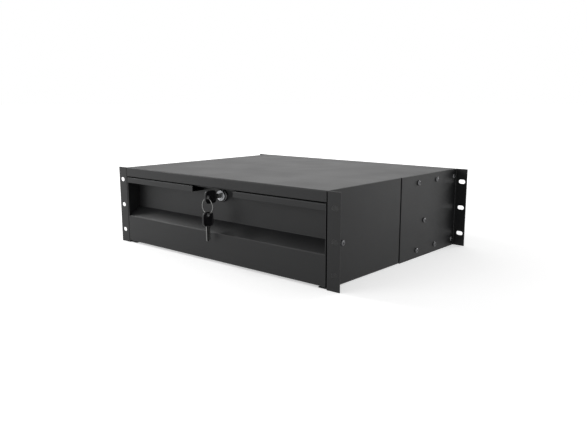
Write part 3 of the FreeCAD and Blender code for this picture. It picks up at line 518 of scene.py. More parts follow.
class Paintshop:
    """Builds each finish once."""

    BLACK_POWDER: Colour = (0.006, 0.0062, 0.0066)

    def __init__(self) -> None:
        """Builds the effects and the finishes."""
        effects = Effects()
        self.case = PowderCoat("case_powder_coat", self.BLACK_POWDER, 0.44).material(effects)
        self.drawer = PowderCoat("drawer_powder_coat", self.BLACK_POWDER, 0.44).material(effects)
        self.zinc = DrawnSteel("zinc_strip", (0.60, 0.61, 0.62), 0.30).material(effects)
        self.dark_screw = DrawnSteel("black_nickel_screw", (0.13, 0.13, 0.135), 0.16,
                                     streak=(0.09, 0.09, 0.094), along=900.0).material(effects)
        self.bright_screw = DrawnSteel("zinc_fastener", (0.62, 0.63, 0.64), 0.26,
                                       streak=(0.5, 0.5, 0.51), along=900.0).material(effects)
        self.bearing = Polished("bearing_steel", (0.75, 0.76, 0.78), 0.08).material(effects)
        # Lock metal colour set darker than bright chrome: painted shade standing for darker surroundings in the
        # face's reflection.
        self.chrome = Polished("lock_chrome", (0.31, 0.315, 0.325), 0.15).material(effects)
        # Key metal colour set far darker than plated nickel: painted shade standing for the dark surroundings that
        # the blades and ring reflect.
        self.nickel = DrawnSteel("key_nickel", (0.17, 0.17, 0.167), 0.22, streak=(0.13, 0.13, 0.128),
                                 across=3800.0, along=3800.0).material(effects)
        self.collar = Moulded("collar_enamel", (0.012, 0.012, 0.014), 0.16, grain=500.0,
                              grain_depth=0.000006, coat=0.6).material(effects)
        self.bow = Moulded("bow_moulding", (0.007, 0.007, 0.008), 0.34, sheen=0.25).material(effects)


# ------------------------------------------------------------------ mesh work


def lathe(profile: list[Point], segments: int) -> bmesh.types.BMesh:
    """Turns a closed profile about Z.

    Args:
        profile: (radius, height) points in millimetres, in order round the section.
        segments: The number of steps round.

    Returns:
        The mesh.
    """
    bm = bmesh.new()
    rings: list[list[bmesh.types.BMVert]] = []
    for radius, height in profile:
        if radius == 0:
            rings.append([bm.verts.new((0, 0, height * MM))])
            continue
        steps = [2 * math.pi * step / segments for step in range(segments)]
        rings.append([bm.verts.new((radius * math.cos(turn) * MM, radius * math.sin(turn) * MM,
                                    height * MM)) for turn in steps])
    for ring, after in zip(rings, rings[1:] + rings[:1]):
        if len(ring) == len(after) == 1:
            continue
        for step in range(segments):
            corners = [ring[step % len(ring)], ring[(step + 1) % len(ring)],
                       after[(step + 1) % len(after)], after[step % len(after)]]
            bm.faces.new(list(dict.fromkeys(corners)))
    bmesh.ops.recalc_face_normals(bm, faces=bm.faces[:])
    return bm


def prism(outline: list[Point], low: float, high: float, taper: float = 1.0) -> bmesh.types.BMesh:
    """Extrudes an outline along Z.

    Args:
        outline: Points in millimetres, in order.
        low: The start height in millimetres.
        high: The end height in millimetres.
        taper: The share of its size that the outline has at the start.

    Returns:
        The mesh.
    """
    bm = bmesh.new()
    levels = [[bm.verts.new((x * share * MM, y * share * MM, height * MM)) for x, y in outline]
              for height, share in ((low, taper), (high, 1.0))]
    count = len(outline)
    bm.faces.new(levels[0])
    bm.faces.new(levels[1])
    for index in range(count):
        after = (index + 1) % count
        bm.faces.new((levels[0][index], levels[0][after], levels[1][after], levels[1][index]))
    bmesh.ops.recalc_face_normals(bm, faces=bm.faces[:])
    return bm


def round_rectangle(width: float, height: float, radius: float, steps: int = 8) -> list[Point]:
    """The outline of a rectangle with round corners, about its centre.

    Args:
        width: Its width.
        height: Its height.
        radius: The corner radius.
        steps: The steps in each corner.

    Returns:
        The outline's points.
    """
    points = []
    for corner, (along, up) in enumerate(((1, 1), (-1, 1), (-1, -1), (1, -1))):
        for step in range(steps + 1):
            turn = math.pi / 2 * (corner + step / steps)
            points.append((along * (width / 2 - radius) + radius * math.cos(turn),
                           up * (height / 2 - radius) + radius * math.sin(turn)))
    return points


def rectangle(left: float, low: float, right: float, high: float) -> list[Point]:
    """The outline of a plain rectangle."""
    return [(left, low), (right, low), (right, high), (left, high)]


def circle(radius: float, sides: int, turn: float = 0.0) -> list[Point]:
    """The corners of a regular polygon about the origin."""
    return [(radius * math.cos(turn + 2 * math.pi * side / sides),
             radius * math.sin(turn + 2 * math.pi * side / sides)) for side in range(sides)]


def linked(name: str, data: bpy.types.ID) -> bpy.types.Object:
    """Makes an object of its data, at the origin of the scene."""
    piece = bpy.data.objects.new(name, data)
    bpy.context.scene.collection.objects.link(piece)
    return piece


def as_object(bm: bmesh.types.BMesh, name: str) -> bpy.types.Object:
    """Makes an object of a mesh and frees it.

    Args:
        bm: The mesh.
        name: The object's name.

    Returns:
        The object, at the origin.
    """
    mesh = bpy.data.meshes.new(name)
    bm.to_mesh(mesh)
    bm.free()
    return linked(name, mesh)


def settle(piece: bpy.types.Object) -> None:
    """Turns a piece's evaluated shape into its own plain mesh."""
    depsgraph = bpy.context.evaluated_depsgraph_get()
    mesh = bpy.data.meshes.new_from_object(piece.evaluated_get(depsgraph), depsgraph=depsgraph)
    piece.modifiers.clear()
    piece.data = mesh


def drop(piece: bpy.types.Object) -> None:
    """Deletes an object that was only a tool."""
    bpy.data.objects.remove(piece, do_unlink=True)


def carve(piece: bpy.types.Object, tool: bpy.types.Object, operation: str = "DIFFERENCE") -> None:
    """Applies a boolean and deletes its tool.

    Args:
        piece: The piece to change.
        tool: The shape that changes it.
        operation: DIFFERENCE, INTERSECT or UNION.
    """
    boolean = piece.modifiers.new("carve", "BOOLEAN")
    boolean.object = tool
    boolean.operation = operation
    boolean.solver = "EXACT"
    settle(piece)
    drop(tool)


def soften(piece: bpy.types.Object, width: float, segments: int = 2, angle: float = 35.0) -> None:
    """Rounds the edges sharper than an angle.

    Args:
        piece: The piece.
        width: The round's width in millimetres.
        segments: The steps across it.
        angle: The smallest angle that counts, in degrees.
    """
    bevel = piece.modifiers.new("soften", "BEVEL")
    bevel.width = width * MM
    bevel.segments = segments
    bevel.limit_method = "ANGLE"
    bevel.angle_limit = math.radians(angle)
    bevel.harden_normals = False
    settle(piece)


def smooth(piece: bpy.types.Object, angle: float = 40.0) -> None:
    """Shades a piece smooth, with the edges past an angle kept sharp."""
    for polygon in piece.data.polygons:
        polygon.use_smooth = True
    piece.data.set_sharp_from_angle(angle=math.radians(angle))


def aim(piece: bpy.types.Object, facing: Facing, at: Vector | None = None) -> None:
    """Turns a mesh built along +Z to face a way, and moves it.

    Args:
        piece: The piece, whose mesh is changed.
        facing: The way that +Z goes.
        at: Where the mesh's origin goes.
    """
    turn = Vector((0, 0, 1)).rotation_difference(Vector(facing.value)).to_matrix().to_4x4()
    piece.data.transform(turn)
    if at is not None:
        piece.data.transform(turn.Translation(at))


def dress(piece: bpy.types.Object, material: bpy.types.Material | None, body: str, slot: str, *nodes: str) -> None:
    """Gives a finished piece its material and body, and hides the CAD nodes that it stands for.

    Args:
        piece: The piece.
        material: Its finish, or None if its mesh has it.
        body: The CAD body that it rides on.
        slot: The record's material slot; not used.
        *nodes: The nodes that it replaces.
    """
    if material is not None:
        piece.data.materials.clear()
        piece.data.materials.append(material)
    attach(piece, body)
    if nodes:
        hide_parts(*nodes)
    LOG.info("%s rides on %s, %d faces", piece.name, body, len(piece.data.polygons))


# ------------------------------------------------------------------ repeated pieces


class Scatter:
    """Geometry Nodes that put a template, or a turned ball, on every point of a piece."""

    def __init__(self) -> None:
        """Builds both trees."""
        self.fasteners = self._fastener_tree()
        self.balls = self._ball_tree()

    @staticmethod
    def tree(name: str, inputs: dict[str, str]):
        """Makes an empty Geometry Nodes tree.

        Args:
            name: The tree's name.
            inputs: Input names with their socket types.

        Returns:
            The tree, its input node and its output node.
        """
        tree = bpy.data.node_groups.new(name, "GeometryNodeTree")
        tree.interface.new_socket(name="Points", in_out="INPUT", socket_type="NodeSocketGeometry")
        for label, kind in inputs.items():
            tree.interface.new_socket(name=label, in_out="INPUT", socket_type=kind)
        tree.interface.new_socket(name="Pieces", in_out="OUTPUT", socket_type="NodeSocketGeometry")
        return tree, tree.nodes.new("NodeGroupInput"), tree.nodes.new("NodeGroupOutput")

    @staticmethod
    def finish_tree(tree: bpy.types.NodeTree, given: bpy.types.Node, out: bpy.types.Node, instances) -> None:
        """Ends a tree in Realize Instances and Set Material."""
        realised = place(tree, "GeometryNodeRealizeInstances", {0: instances})
        painted = place(tree, "GeometryNodeSetMaterial", {
            "Geometry": realised.outputs[0], "Material": given.outputs["Finish"]})
        tree.links.new(painted.outputs[0], out.inputs[0])

    def _fastener_tree(self) -> bpy.types.NodeTree:
        """A template on each point, turned by chance about its own axis."""
        tree, given, out = self.tree("fasteners_on_points", {
            "Template": "NodeSocketObject", "Axis": "NodeSocketVector", "Spin": "NodeSocketFloat",
            "Seed": "NodeSocketInt", "Finish": "NodeSocketMaterial"})
        template = place(tree, "GeometryNodeObjectInfo", {
            "Object": given.outputs["Template"], "As Instance": True}, transform_space="ORIGINAL")
        chance = place(tree, "FunctionNodeRandomValue", data_type="FLOAT")
        tree.links.new(given.outputs["Spin"], chance.inputs[3])
        tree.links.new(given.outputs["Seed"], chance.inputs["Seed"])
        turn = place(tree, "FunctionNodeAxisAngleToRotation", {
            "Axis": given.outputs["Axis"], "Angle": chance.outputs[1]})
        scattered = place(tree, "GeometryNodeInstanceOnPoints", {
            "Points": given.outputs["Points"], "Instance": template.outputs["Geometry"],
            "Rotation": turn.outputs[0]})
        self.finish_tree(tree, given, out, scattered.outputs[0])
        return tree

    def _ball_tree(self) -> bpy.types.NodeTree:
        """A ball on each point."""
        tree, given, out = self.tree("balls_on_points", {
            "Radius": "NodeSocketFloat", "Segments": "NodeSocketInt", "Rings": "NodeSocketInt",
            "Finish": "NodeSocketMaterial"})
        ball = place(tree, "GeometryNodeMeshUVSphere", {
            "Radius": given.outputs["Radius"], "Segments": given.outputs["Segments"],
            "Rings": given.outputs["Rings"]})
        shaded = place(tree, "GeometryNodeSetShadeSmooth", {"Geometry": ball.outputs["Mesh"]})
        scattered = place(tree, "GeometryNodeInstanceOnPoints", {
            "Points": given.outputs["Points"], "Instance": shaded.outputs[0]})
        self.finish_tree(tree, given, out, scattered.outputs[0])
        return tree

    @staticmethod
    def make(name: str, tree: bpy.types.NodeTree, spots: list[Vector], values: dict) -> bpy.types.Object:
        """Runs a tree on a set of points.

        Args:
            name: The piece's name.
            tree: The Geometry Nodes tree.
            spots: The points.
            values: The tree's inputs by name.

        Returns:
            The piece, as one plain mesh.
        """
        mesh = bpy.data.meshes.new(name)
        mesh.from_pydata(spots, [], [])
        piece = linked(name, mesh)
        modifier = piece.modifiers.new(tree.name, "NODES")
        modifier.node_group = tree
        sockets = {item.name: item.identifier for item in tree.interface.items_tree if item.in_out == "INPUT"}
        for label, value in values.items():
            modifier[sockets[label]] = value
        settle(piece)
        return piece


@dataclass
class PanScrew:
    """A pan head screw with a cross recess, built with its seat at the origin."""

    head: float = 4.0
    height: float = HEAD_HEIGHT
    shank: float = 2.0
    length: float = 8.0
    pitch: float = 0.7
    recess: float = 2.3
    recess_depth: float = 1.3
    segments: int = 36

    def template(self, name: str) -> bpy.types.Object:
        """Builds the screw.

        Args:
            name: The template's name.

        Returns:
            The template.
        """
        dome = [(self.head * math.cos(turn) ** 0.6, self.height * (0.32 + 0.68 * math.sin(turn)))
                for turn in (math.radians(step * 15) for step in range(6))]
        thread, depth = [], -0.4
        while depth > -self.length + self.pitch:
            thread += [(self.shank, depth), (self.shank * 0.86, depth - self.pitch / 2)]
            depth -= self.pitch
        profile = [(0, self.height), *reversed(dome), (self.head * 0.985, 0.0), (self.shank, 0.0), *thread,
                   (self.shank * 0.8, -self.length), (0, -self.length)]
        screw = as_object(lathe(profile, self.segments), name)
        arm, waist = self.recess, self.recess * 0.24
        cross = [(arm, -waist), (arm, waist), (waist, waist), (waist, arm), (-waist, arm), (-waist, waist),
                 (-arm, waist), (-arm, -waist), (-waist, -waist), (-waist, -arm), (waist, -arm), (waist, -waist)]
        tool = as_object(prism(cross, self.height - self.recess_depth, self.height + 0.5, 0.55), "recess_tool")
        carve(screw, tool)
        smooth(screw, 32)
        return screw


@dataclass
class HexNut:
    """A hexagon nut with chamfered corners, built from its seat at the origin towards +Z."""

    flats: float = 7.0
    height: float = 3.2
    bore: float = 2.02

    def template(self, name: str) -> bpy.types.Object:
        """Builds the nut.

        Args:
            name: The template's name.

        Returns:
            The template.
        """
        corner = self.flats / math.sqrt(3)
        drop_by = (corner - self.flats / 2) * 0.6
        blank = as_object(prism(circle(corner, 6), 0, self.height), name)
        profile = [(self.bore, 0.25), (self.bore + 0.25, 0.0), (self.flats / 2 - 0.1, 0.0), (corner + 0.1, drop_by),
                   (corner + 0.1, self.height - drop_by), (self.flats / 2 - 0.1, self.height),
                   (self.bore + 0.25, self.height), (self.bore, self.height - 0.25)]
        carve(blank, as_object(lathe(profile, 48), "turned_tool"), "INTERSECT")
        smooth(blank, 30)
        return blank


@dataclass
class FastenerGroup:
    """A CAD node of equal fasteners and how many it has along each axis."""

    node: str
    body: str
    slot: str
    facing: Facing
    columns: tuple[int, int, int]
    reach: Vector
    seats: tuple[float, ...] = ()

    def spots(self, stands: float) -> list[Vector]:
        """Works out the seats of the fasteners.

        Args:
            stands: How far the fastener stands proud of its seat, in millimetres.

        Returns:
            The seats, in metres.
        """
        low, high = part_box(self.node)
        way = Vector(self.facing.value)
        axis = max(range(3), key=lambda index: abs(way[index]))
        outer = high[axis] if way[axis] > 0 else low[axis]
        seat = outer - way[axis] * stands * MM
        lines = []
        for index in range(3):
            count = self.columns[index]
            if index == axis:
                lines.append([seat])
            elif count == 1:
                lines.append([(low[index] + high[index]) / 2])
            else:
                start, end = low[index] + self.reach[index] * MM, high[index] - self.reach[index] * MM
                lines.append([start + (end - start) * step / (count - 1) for step in range(count)])
        spots = [Vector((x, y, z)) for x in lines[0] for y in lines[1] for z in lines[2]]
        for spot, dip in zip(spots, self.seats):
            spot[axis] -= way[axis] * dip * MM
        return spots


class FastenerBox:
    """Makes the screws and nuts of the whole drawer."""

    def __init__(self, scatter: Scatter, paint: Paintshop) -> None:
        """Keeps the trees and the finishes."""
        self.scatter = scatter
        self.paint = paint
        self.seed = 0

    def place_group(self, group: FastenerGroup, spots: list[Vector], part, material: bpy.types.Material,
                    spin: float = math.pi) -> None:
        """Makes one group.

        Args:
            group: The group.
            spots: Where the seats are.
            part: The fastener, with a template method.
            material: Its finish.
            spin: The most that one is turned by chance.
        """
        template = part.template(f"{group.node}_template")
        aim(template, group.facing)
        self.seed += 1
        piece = self.scatter.make(f"{group.node}_turned", self.scatter.fasteners, spots, {
            "Template": template, "Axis": Vector(group.facing.value), "Spin": spin, "Seed": self.seed,
            "Finish": material})
        drop(template)
        dress(piece, None, group.body, group.slot, group.node)

    def case_screws(self, side: Side) -> None:
        """Makes a side's bracket screws, their nuts and the slide screws."""
        word = side.word
        reach = Vector((0, HEAD_REACH, HEAD_REACH))
        group = FastenerGroup(f"bracket_screws_{word}", "housing", "screw_steel", side.outward, (1, 3, 2), reach)
        spots = group.spots(HEAD_HEIGHT)
        self.place_group(group, spots, PanScrew(), self.paint.dark_screw)
        nuts = FastenerGroup(f"bracket_nuts_{word}", "housing", "plated_steel", side.inward, (1, 3, 2), reach)
        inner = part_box(nuts.node)[1 if side is Side.RIGHT else 0].x
        seats = []
        for spot in spots:
            last = spot.y > spots[-1].y - MM
            seats.append(Vector((inner - side.value * (1.2 * MM if last else 0.0), spot.y, spot.z)))
        self.place_group(nuts, seats, HexNut(), self.paint.bright_screw, 0.5)
        rails = FastenerGroup(f"slide_screws_{word}", "housing", "screw_steel", side.outward, (1, 2, 1),
                              reach, (0.5, 0.0))
        self.place_group(rails, rails.spots(HEAD_HEIGHT), PanScrew(length=3.8), self.paint.dark_screw)

    def tray_screws(self, side: Side) -> None:
        """Makes the screws between the tray and a slide's inner member."""
        group = FastenerGroup(f"tray_screws_{side.word}", "drawer", "plated_steel", side.inward, (1, 3, 1),
                              Vector((0, HEAD_REACH, 0)))
        self.place_group(group, group.spots(HEAD_HEIGHT), PanScrew(length=3.6), self.paint.bright_screw)

    def front_screws(self) -> None:
        """Makes the screws and nuts that hold the drawer front."""
        reach = HEAD_REACH * MM
        low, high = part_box("front_screws")
        level = (low.z + high.z) / 2
        reaches = (low.x + reach, -60 * MM, 60 * MM, high.x - reach)
        group = FastenerGroup("front_screws", "drawer", "plated_steel", Facing.BACK, (4, 1, 1), Vector())
        seat = high.y - HEAD_HEIGHT * MM
        self.place_group(group, [Vector((x, seat, level)) for x in reaches], PanScrew(length=6.2),
                         self.paint.bright_screw)
        nuts = FastenerGroup("front_nuts", "drawer", "plated_steel", Facing.FRONT, (4, 1, 1), Vector())
        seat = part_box("front_nuts")[1].y
        self.place_group(nuts, [Vector((x, seat, level)) for x in reaches], HexNut(),
                         self.paint.bright_screw, 0.5)

    def lock_fasteners(self) -> None:
        """Makes the cam's screw and the lock's nut."""
        low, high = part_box("cam_screw")
        centre = (low + high) / 2
        screw = FastenerGroup("cam_screw", "lock_cylinder", "plated_steel", Facing.BACK, (1, 1, 1), Vector())
        self.place_group(screw, [Vector((centre.x, high.y - 2.08 * MM, centre.z))],
                         PanScrew(head=4.5, height=2.08, shank=1.5, length=7.0, pitch=0.5, recess=2.0),
                         self.paint.bright_screw)
        low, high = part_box("lock_nut")
        centre = (low + high) / 2
        nut = FastenerGroup("lock_nut", "drawer", "plated_steel", Facing.BACK, (1, 1, 1), Vector())
        self.place_group(nut, [Vector((centre.x, low.y, centre.z))],
                         HexNut(flats=20.0, height=4.0, bore=7.95), self.paint.bright_screw, 0.0)


# ------------------------------------------------------------------ sub-assemblies


def paint_node(frame: dict, node: str, material: bpy.types.Material) -> None:
    """Gives a CAD node its finish.

    Args:
        frame: The loaded frame.
        node: The node's name.
        material: The finish.
    """
    slots = frame["nodes"][node].material_slots
    for slot in slots:
        slot.material = material
    LOG.info("%s painted with %s", node, material.name)


@dataclass
class Case:
    """The cover, the side panels, the rear brackets and panel and the lock's strike."""

    sheets: tuple[str, ...] = ("top_cover", "side_panel_right", "side_panel_left", "rear_bracket_right",
                               "rear_bracket_left", "rear_panel", "lock_strike")

    def build(self, frame: dict, paint: Paintshop, box: FastenerBox) -> None:
        """Dresses the case.

        Args:
            frame: The loaded frame.
            paint: The finishes.
            box: The maker of fasteners.
        """
        for sheet in self.sheets:
            paint_node(frame, sheet, paint.case)
        for side in Side:
            box.case_screws(side)


@dataclass
class Slides:
    """The telescopic slides with their cages and balls."""

    outer_radius: float = 1.9
    inner_radius: float = 1.5
    per_row: int = 5
    segments: int = 20
    rings: int = 12

    def build(self, frame: dict, paint: Paintshop, scatter: Scatter) -> None:
        """Dresses both slides.

        Args:
            frame: The loaded frame.
            paint: The finishes.
            scatter: The trees.
        """
        for side in Side:
            for member in ("slide_outer", "slide_middle", "slide_inner", "outer_cage", "inner_cage"):
                paint_node(frame, f"{member}_{side.word}", paint.zinc)
            for row, radius in (("outer", self.outer_radius), ("inner", self.inner_radius)):
                self._balls(f"{row}_balls_{side.word}", f"{row}_retainer_{side.word}", radius, paint, scatter)

    def _balls(self, node: str, body: str, radius: float, paint: Paintshop, scatter: Scatter) -> None:
        """Makes the balls of one cage."""
        low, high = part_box(node)
        start, end = low.y + radius * MM, high.y - radius * MM
        spots = [Vector(((low.x + high.x) / 2, start + (end - start) * step / (self.per_row - 1), level))
                 for level in (low.z + radius * MM, high.z - radius * MM) for step in range(self.per_row)]
        piece = scatter.make(f"{node}_round", scatter.balls, spots, {
            "Radius": radius * MM, "Segments": self.segments, "Rings": self.rings, "Finish": paint.bearing})
        dress(piece, None, body, "ball_steel", node)


@dataclass
class Drawer:
    """The tray with its end walls, the folded front and its end caps."""

    sheets: tuple[str, ...] = ("drawer_tray", "tray_front_wall", "tray_rear_wall", "drawer_front",
                               "front_end_cap_right", "front_end_cap_left")
    gauge: float = 1.2
    strip_reach: tuple[float, float] = (1.2, 22.5)
    strip_level: float = 40.0
    notch: float = 45.5

    def build(self, frame: dict, paint: Paintshop, box: FastenerBox) -> None:
        """Dresses the drawer.

        Args:
            frame: The loaded frame.
            paint: The finishes.
            box: The maker of fasteners.
        """
        for sheet in self.sheets:
            paint_node(frame, sheet, paint.drawer)
        for side in Side:
            box.tray_screws(side)
            self._strip_return(side, paint)
        box.front_screws()

    def _strip_return(self, side: Side, paint: Paintshop) -> None:
        """Makes the inner fold that closes the pull strip from below.

        Args:
            side: The side of the notch that it is on.
            paint: The finishes.
        """
        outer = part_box("drawer_front")[1].x / MM - self.gauge
        near, far = sorted((side.value * self.notch, side.value * outer))
        start, end = self.strip_reach
        fold = as_object(prism(rectangle(near, start, far, end), self.strip_level,
                               self.strip_level + self.gauge), f"strip_return_{side.word}")
        soften(fold, 0.2, 2)
        smooth(fold, 30)
        dress(fold, paint.drawer, "drawer", "drawer_steel")


@dataclass
class CamLock:
    """The cam lock: shell, collar, plug, cam, nut and screw. Lengths run back from the face."""

    head: float = 9.0
    face: float = 7.6
    shell: float = 7.9
    bore: float = 5.65
    plug: float = 5.5
    head_length: float = 3.1
    shell_length: float = 24.0
    collar: float = 10.7
    collar_height: float = 3.4
    keyway: tuple[float, float] = (2.3, 7.6)
    segments: int = 72

    def build(self, frame: dict, paint: Paintshop, box: FastenerBox) -> None:
        """Builds the lock.

        Args:
            frame: The loaded frame.
            paint: The finishes.
            box: The maker of fasteners.
        """
        low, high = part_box("lock_body")
        face = Vector((0.0, low.y, (low.z + high.z) / 2))
        shell = as_object(lathe(self._shell_profile(), self.segments), "lock_shell")
        aim(shell, Facing.BACK, face)
        smooth(shell, 30)
        dress(shell, paint.chrome, "drawer", "lock_metal", "lock_body")
        collar_at = Vector((0.0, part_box("lock_collar")[0].y, face.z))
        collar = as_object(lathe(self._collar_profile(), self.segments), "lock_collar_ring")
        aim(collar, Facing.BACK, collar_at)
        smooth(collar, 50)
        dress(collar, paint.collar, "drawer", "collar_black", "lock_collar")
        self._plug(paint, face)
        paint_node(frame, "lock_cam", paint.bright_screw)
        box.lock_fasteners()

    def _shell_profile(self) -> list[Point]:
        """The section of the shell: a stepped, grooved head and a threaded body."""
        face, head, shell = self.face, self.head, self.shell
        thread, depth = [], self.head_length + 5.2
        while depth < self.shell_length - 1.0:
            thread += [(shell, depth), (shell - 0.45, depth + 0.5)]
            depth += 1.0
        return [(self.bore, 0.5), (self.bore + 0.35, 0.15), (self.bore + 0.7, 0.0), (face - 0.75, 0.0),
                (face - 0.6, 0.35), (face - 0.3, 0.35), (face - 0.15, 0.1), (face, 0.12), (face + 0.7, 0.5),
                (head - 0.25, 1.15), (head, 1.7), (head, self.head_length - 0.2),
                (head - 0.2, self.head_length), (shell, self.head_length), (shell, self.head_length + 4.8),
                *thread, (shell - 0.5, self.shell_length), (self.bore, self.shell_length)]

    def _collar_profile(self) -> list[Point]:
        """The section of the collar: a soft round over its outer edge."""
        outer, height = self.collar, self.collar_height
        arc = [(outer - height * 0.8 * (1 - math.cos(turn)), height * 0.85 * (1 - math.sin(turn)))
               for turn in (math.radians(step * 15) for step in range(7))]
        return [(self.shell + 0.05, 0.0), *reversed(arc), (outer, height), (self.shell + 0.05, height)]

    def _plug(self, paint: Paintshop, face: Vector) -> None:
        """Builds the plug with its keyway, waist grooves and square tail."""
        low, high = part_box("lock_plug")
        length = (high.y - low.y) / MM
        tail = 1.9
        radius = self.plug
        profile = [(0, 0.25), (radius - 1.6, 0.25), (radius - 1.35, 0.05), (radius - 0.3, 0.05), (radius, 0.35)]
        for groove in (5.0, 9.0, 13.0, 17.0):
            profile += [(radius, groove), (radius - 0.35, groove + 0.3), (radius - 0.35, groove + 1.0),
                        (radius, groove + 1.3)]
        profile += [(radius, length - tail), (0, length - tail)]
        plug = as_object(lathe(profile, self.segments), "lock_plug_turned")
        wide, tall = self.keyway
        slit = rectangle(-wide / 2, -tall / 2, wide / 2, tall / 2)
        carve(plug, as_object(prism(slit, -1.0, 20.0), "keyway_tool"))
        square = as_object(prism(rectangle(-3, -3, 3, 3), length - tail - 0.5, length), "tail_tool")
        carve(plug, square, "UNION")
        bore = as_object(prism(circle(1.55, 24), length - 7.5, length + 1.0), "bore_tool")
        carve(plug, bore)
        aim(plug, Facing.BACK, face)
        smooth(plug, 30)
        dress(plug, paint.chrome, "lock_cylinder", "lock_metal", "lock_plug")


@dataclass
class Keys:
    """The key in the lock, the spare key and the split ring that joins them."""

    bow_width: float = 19.5
    bow_length: float = 21.5
    gauge: float = 3.2
    corner: float = 6.0
    hole: float = 2.9
    hole_edge: float = 4.5
    rim: float = 1.5
    sunk: float = 0.5
    ring_turns: float = 1.95
    ring_section: tuple[float, float] = (1.56, 0.52)

    def build(self, frame: dict, paint: Paintshop) -> None:
        """Builds the keys and the ring.

        Args:
            frame: The loaded frame.
            paint: The finishes.
        """
        for prefix, body in (("key", "key"), ("spare_key", "spare_key")):
            self._bow(f"{prefix}_bow", body, prefix == "key", paint)
            self._blade(frame, f"{prefix}_blade", body, prefix == "key", paint)
        self._ring(paint)

    def _bow(self, node: str, body: str, level: bool, paint: Paintshop) -> None:
        """Moulds a bow with a raised rim and a ring hole.

        Args:
            node: The CAD node that it stands for.
            body: The body that it rides on.
            level: Whether its length lies along Y, not up Z.
            paint: The finishes.
        """
        low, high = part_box(node)
        centre = (low + high) / 2
        half = self.gauge / 2
        outline = round_rectangle(self.bow_length, self.bow_width, self.corner)
        bow = as_object(prism(outline, -half, half), f"{node}_moulded")
        field = round_rectangle(self.bow_length - 2 * self.rim, self.bow_width - 2 * self.rim,
                                self.corner - self.rim)
        for start, end in ((-half - 1, -half + self.sunk), (half - self.sunk, half + 1)):
            carve(bow, as_object(prism(field, start, end), "field_tool"))
        shift = -self.bow_length / 2 + self.hole_edge
        boss = as_object(prism(circle(self.hole + 1.3, 40), -half, half), "boss_tool")
        boss.data.transform(boss.matrix_world.Translation((shift * MM, 0, 0)))
        carve(bow, boss, "UNION")
        hole = as_object(prism(circle(self.hole, 40), -half - 1, half + 1), "hole_tool")
        hole.data.transform(hole.matrix_world.Translation((shift * MM, 0, 0)))
        carve(bow, hole)
        soften(bow, 0.35, 3)
        self._stand(bow, centre, level)
        smooth(bow, 35)
        dress(bow, paint.bow, body, "key_plastic", node)

    @staticmethod
    def _stand(piece: bpy.types.Object, centre: Vector, level: bool) -> None:
        """Turns a shape built flat in XY into the YZ plane and moves it.

        Args:
            piece: The piece.
            centre: Where its middle goes.
            level: Whether its +X end goes to +Y; if not, it goes to -Z with its hole up.
        """
        for vertex in piece.data.vertices:
            along, across, thick = vertex.co
            if level:
                vertex.co = centre + Vector((thick, along, across))
            else:
                vertex.co = centre + Vector((thick, -across, -along))
        piece.data.update()

    def _blade(self, frame: dict, node: str, body: str, level: bool, paint: Paintshop) -> None:
        """Mills the groove along a blade and eases its edges.

        Args:
            frame: The loaded frame.
            node: The CAD node that it stands for.
            body: The body that it rides on.
            level: Whether its length lies along Y, not up Z.
            paint: The finishes.
        """
        blade = linked(f"{node}_milled", frame["nodes"][node].data.copy())
        bm = bmesh.new()
        bm.from_mesh(blade.data)
        bmesh.ops.remove_doubles(bm, verts=bm.verts[:], dist=1e-6)
        bmesh.ops.dissolve_limit(bm, angle_limit=math.radians(1), verts=bm.verts[:], edges=bm.edges[:])
        bm.to_mesh(blade.data)
        bm.free()
        low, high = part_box(node)
        centre = (low + high) / 2
        half = (high.x - low.x) / 2 / MM
        for sign, offset in ((1, -0.9), (-1, 0.5)):
            near, far = sorted((sign * (half - 0.45), sign * (half + 0.5)))
            groove = as_object(prism(rectangle(-20, offset, 20, offset + 1.1), near, far), "groove_tool")
            self._stand(groove, centre, level)
            if not level:
                groove.data.flip_normals()
            carve(blade, groove)
        soften(blade, 0.12, 2)
        smooth(blade, 30)
        dress(blade, paint.nickel, body, "key_metal", node)

    def _ring(self, paint: Paintshop) -> None:
        """Winds the split ring with Geometry Nodes."""
        low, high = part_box("key_ring")
        centre = (low + high) / 2
        width = (high.y - low.y) / MM
        radius = (high.x - low.x) / 2 / MM - self.ring_section[0] / 2
        lengths = dict.fromkeys(("Turns", "Radius", "Rise", "Wire Width", "Wire Height"), "NodeSocketFloat")
        tree, given, out = Scatter.tree("split_ring", {**lengths, "Finish": "NodeSocketMaterial"})
        coil = place(tree, "GeometryNodeCurveSpiral", {
            "Resolution": 96, "Rotations": given.outputs["Turns"], "Start Radius": given.outputs["Radius"],
            "End Radius": given.outputs["Radius"], "Height": given.outputs["Rise"]})
        section = place(tree, "GeometryNodeCurvePrimitiveQuadrilateral", {
            "Width": given.outputs["Wire Width"], "Height": given.outputs["Wire Height"]})
        eased = place(tree, "GeometryNodeFilletCurve", {
            "Curve": section.outputs[0], "Count": 2, "Radius": 0.14 * MM, "Limit Radius": True}, mode="POLY")
        wire = place(tree, "GeometryNodeCurveToMesh", {
            "Curve": coil.outputs[0], "Profile Curve": eased.outputs[0], "Fill Caps": True})
        Scatter.finish_tree(tree, given, out, wire.outputs[0])
        tall = self.ring_section[1]
        ring = Scatter.make("key_ring_split", tree, [], {
            "Turns": self.ring_turns, "Radius": radius * MM, "Rise": (width - tall) * MM,
            "Wire Width": self.ring_section[0] * MM, "Wire Height": tall * MM, "Finish": paint.nickel})
        rise = (width - tall) / 2
        for vertex in ring.data.vertices:
            x, y, z = vertex.co
            vertex.co = centre + Vector((x, rise * MM - z, y))
        ring.data.update()
        smooth(ring, 35)
        dress(ring, None, "ring", "key_metal", "key_ring")


# ------------------------------------------------------------------ the studio


